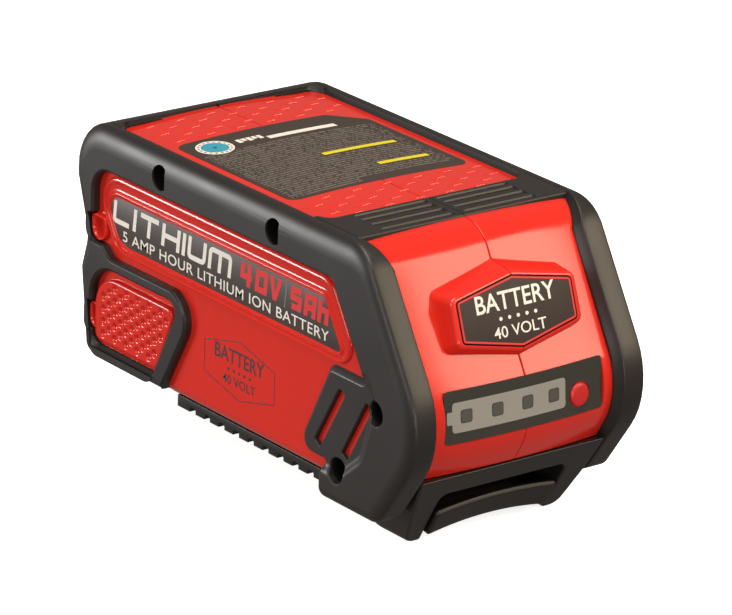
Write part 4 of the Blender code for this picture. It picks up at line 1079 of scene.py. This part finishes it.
for x, fall in spans:
    corners = np.array(LEVER_SIDE)
    corners[:, 1] -= LIP_FALL * (x / LEVER_HALF) ** 2
    corners[-1, 1] += LEVER_ARCH * (1 - (x / LEVER_HALF) ** 2)
    lever_rows.append(at_x(x, rounded(inset(corners, fall), steps=6, straight=3)))
ends = [(ARM_HALF, 0.5), (8.45, 0.15), (8.1, 0)]
arm_rows = [at_x(x, rounded(inset(LEVER_ARM, fall))) for x, fall in [(-x, f) for x, f in ends] + ends[::-1]]
lever_black = plastic("lever_black", (0.007, 0.006, 0.006), 0.42, grain=0.1, mottle=0.05)
lever = capped(np.stack(lever_rows)) + capped(np.stack(arm_rows))
lever = piece("lever_rocker", lever, lever_black, body="lever")
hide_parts("release_lever")

# ------------------------------------------------------------------ inside the case
# Cells, holders, nickel strips, boards, screws and contacts stay the frame's own shapes, each with the
# finish of its own stuff.


def metal(name, colour, roughness, streaks=260.0):
    """Bare metal with fine drawn streaks along one way, in its roughness."""
    made = plastic(name, colour, roughness, mottle=0.03)
    tree = made.node_tree
    shader, link = tree.nodes["Principled BSDF"], tree.links.new
    shader.inputs["Metallic"].default_value = 1.0
    place, noise = added(tree, "TexCoord"), added(tree, "TexNoise")
    stretched = added(tree, "Mapping", Scale=(streaks * 10, streaks, streaks))
    rough = added(tree, "MapRange", To_Min=roughness * 0.7, To_Max=roughness * 1.4)
    link(place.outputs["Object"], stretched.inputs["Vector"])
    link(stretched.outputs["Vector"], noise.inputs["Vector"])
    link(noise.outputs["Fac"], rough.inputs["Value"])
    link(rough.outputs["Result"], shader.inputs["Roughness"])
    return made


FINISHES = {
    "steel": metal("zinc_steel", (0.52, 0.52, 0.53), 0.32),
    "nickel": metal("nickel_strip", (0.6, 0.58, 0.54), 0.3),
    "terminal_brass": metal("contact_brass", (0.72, 0.5, 0.2), 0.26), "terminal_black": terminal_black,
    "cell_wrap": plastic("cell_sleeve", (0.02, 0.28, 0.33), 0.3, mottle=0.08),
    "holder_grey": plastic("holder_grey", (0.07, 0.07, 0.08), 0.6, grain=0.2),
    "board_green": plastic("board_green", (0.015, 0.12, 0.045), 0.35, mottle=0.15),
    "guide_white": plastic("light_guide", (0.6, 0.6, 0.58), 0.25), "label_dark": film, "case_red": red,
    "bumper_black": black, "base_black": base_black, "lever_black": lever_black,
    "overlay_dark": overlay_film, "button_red": button_red,
}
for part in frame["record"]["subparts"]:
    slots = frame["nodes"][part["node"]].data.materials
    slots.clear()
    slots.append(FINISHES[part["material_slot"]])

# ------------------------------------------------------------------ floor and light
# A white sweep under soft boxes: overhead, front right, low in front, on the left and low behind it.

WHITE = (0.93, 0.93, 0.93)
FLOOR_HALF, FLOOR_Z = 6, -0.0002
floor = bpy.data.objects.new("floor", bpy.data.meshes.new("floor"))
floor.data.from_pydata([(x, y, FLOOR_Z) for x, y, _ in square(0, 0, FLOOR_HALF, 0)], [], [(0, 1, 2, 3)])
sheet = bpy.data.materials.new("white_sweep")
sheet.use_nodes = True
for socket, value in (("Base Color", (*WHITE, 1)), ("Roughness", 0.9), ("Emission Color", (1, 1, 1, 1)),
                      ("Emission Strength", 0.8)):
    sheet.node_tree.nodes["Principled BSDF"].inputs[socket].default_value = value
floor.data.materials.append(sheet)
floor.visible_glossy = floor.visible_diffuse = False
bpy.context.scene.collection.objects.link(floor)


def soft_box(name, aim, away, place, width, height, power, colour):
    """A flat light away from aim towards place, turned to face it."""
    light = bpy.data.lights.new(name, "AREA")
    light.shape, light.size, light.size_y, light.energy = "RECTANGLE", width, height, power
    light.color = colour
    made = bpy.data.objects.new(name, light)
    spot = Vector(aim) + Vector(place).normalized() * away
    made.location = spot
    made.rotation_euler = (spot - Vector(aim)).to_track_quat("Z", "Y").to_euler()
    bpy.context.scene.collection.objects.link(made)


soft_box("overhead", (0, 0, 0.05), 1.1, (-0.15, -0.15, 1.0), 0.7, 0.9, 11.5, (1.0, 0.91, 0.80))
soft_box("front_right", (0, -0.08, 0.07), 1.2, (0.59, -0.645, 0.485), 0.60, 0.55, 7.4, (1.0, 0.82, 0.60))
soft_box("front_low", (0, -0.08, 0.05), 1.2, (-0.35, -1.0, 0.10), 0.8, 0.2, 5, (1.0, 0.92, 0.84))
soft_box("left", (0, 0, 0.05), 1.3, (-1.0, -0.35, 0.45), 0.6, 0.5, 4, (1.0, 0.98, 0.96))
soft_box("rear_left", (0, 0, 0.08), 1.2, (-0.66, 0.75, 0.03), 0.5, 0.22, 7, (1.0, 0.99, 0.98))
world = bpy.data.worlds.new("studio")
world.use_nodes = True
world.node_tree.nodes["Background"].inputs["Color"].default_value = (1.0, 0.90, 0.83, 1)
world.node_tree.nodes["Background"].inputs["Strength"].default_value = 0.25
bpy.context.scene.world = world
bpy.context.scene.view_settings.view_transform = "Standard"
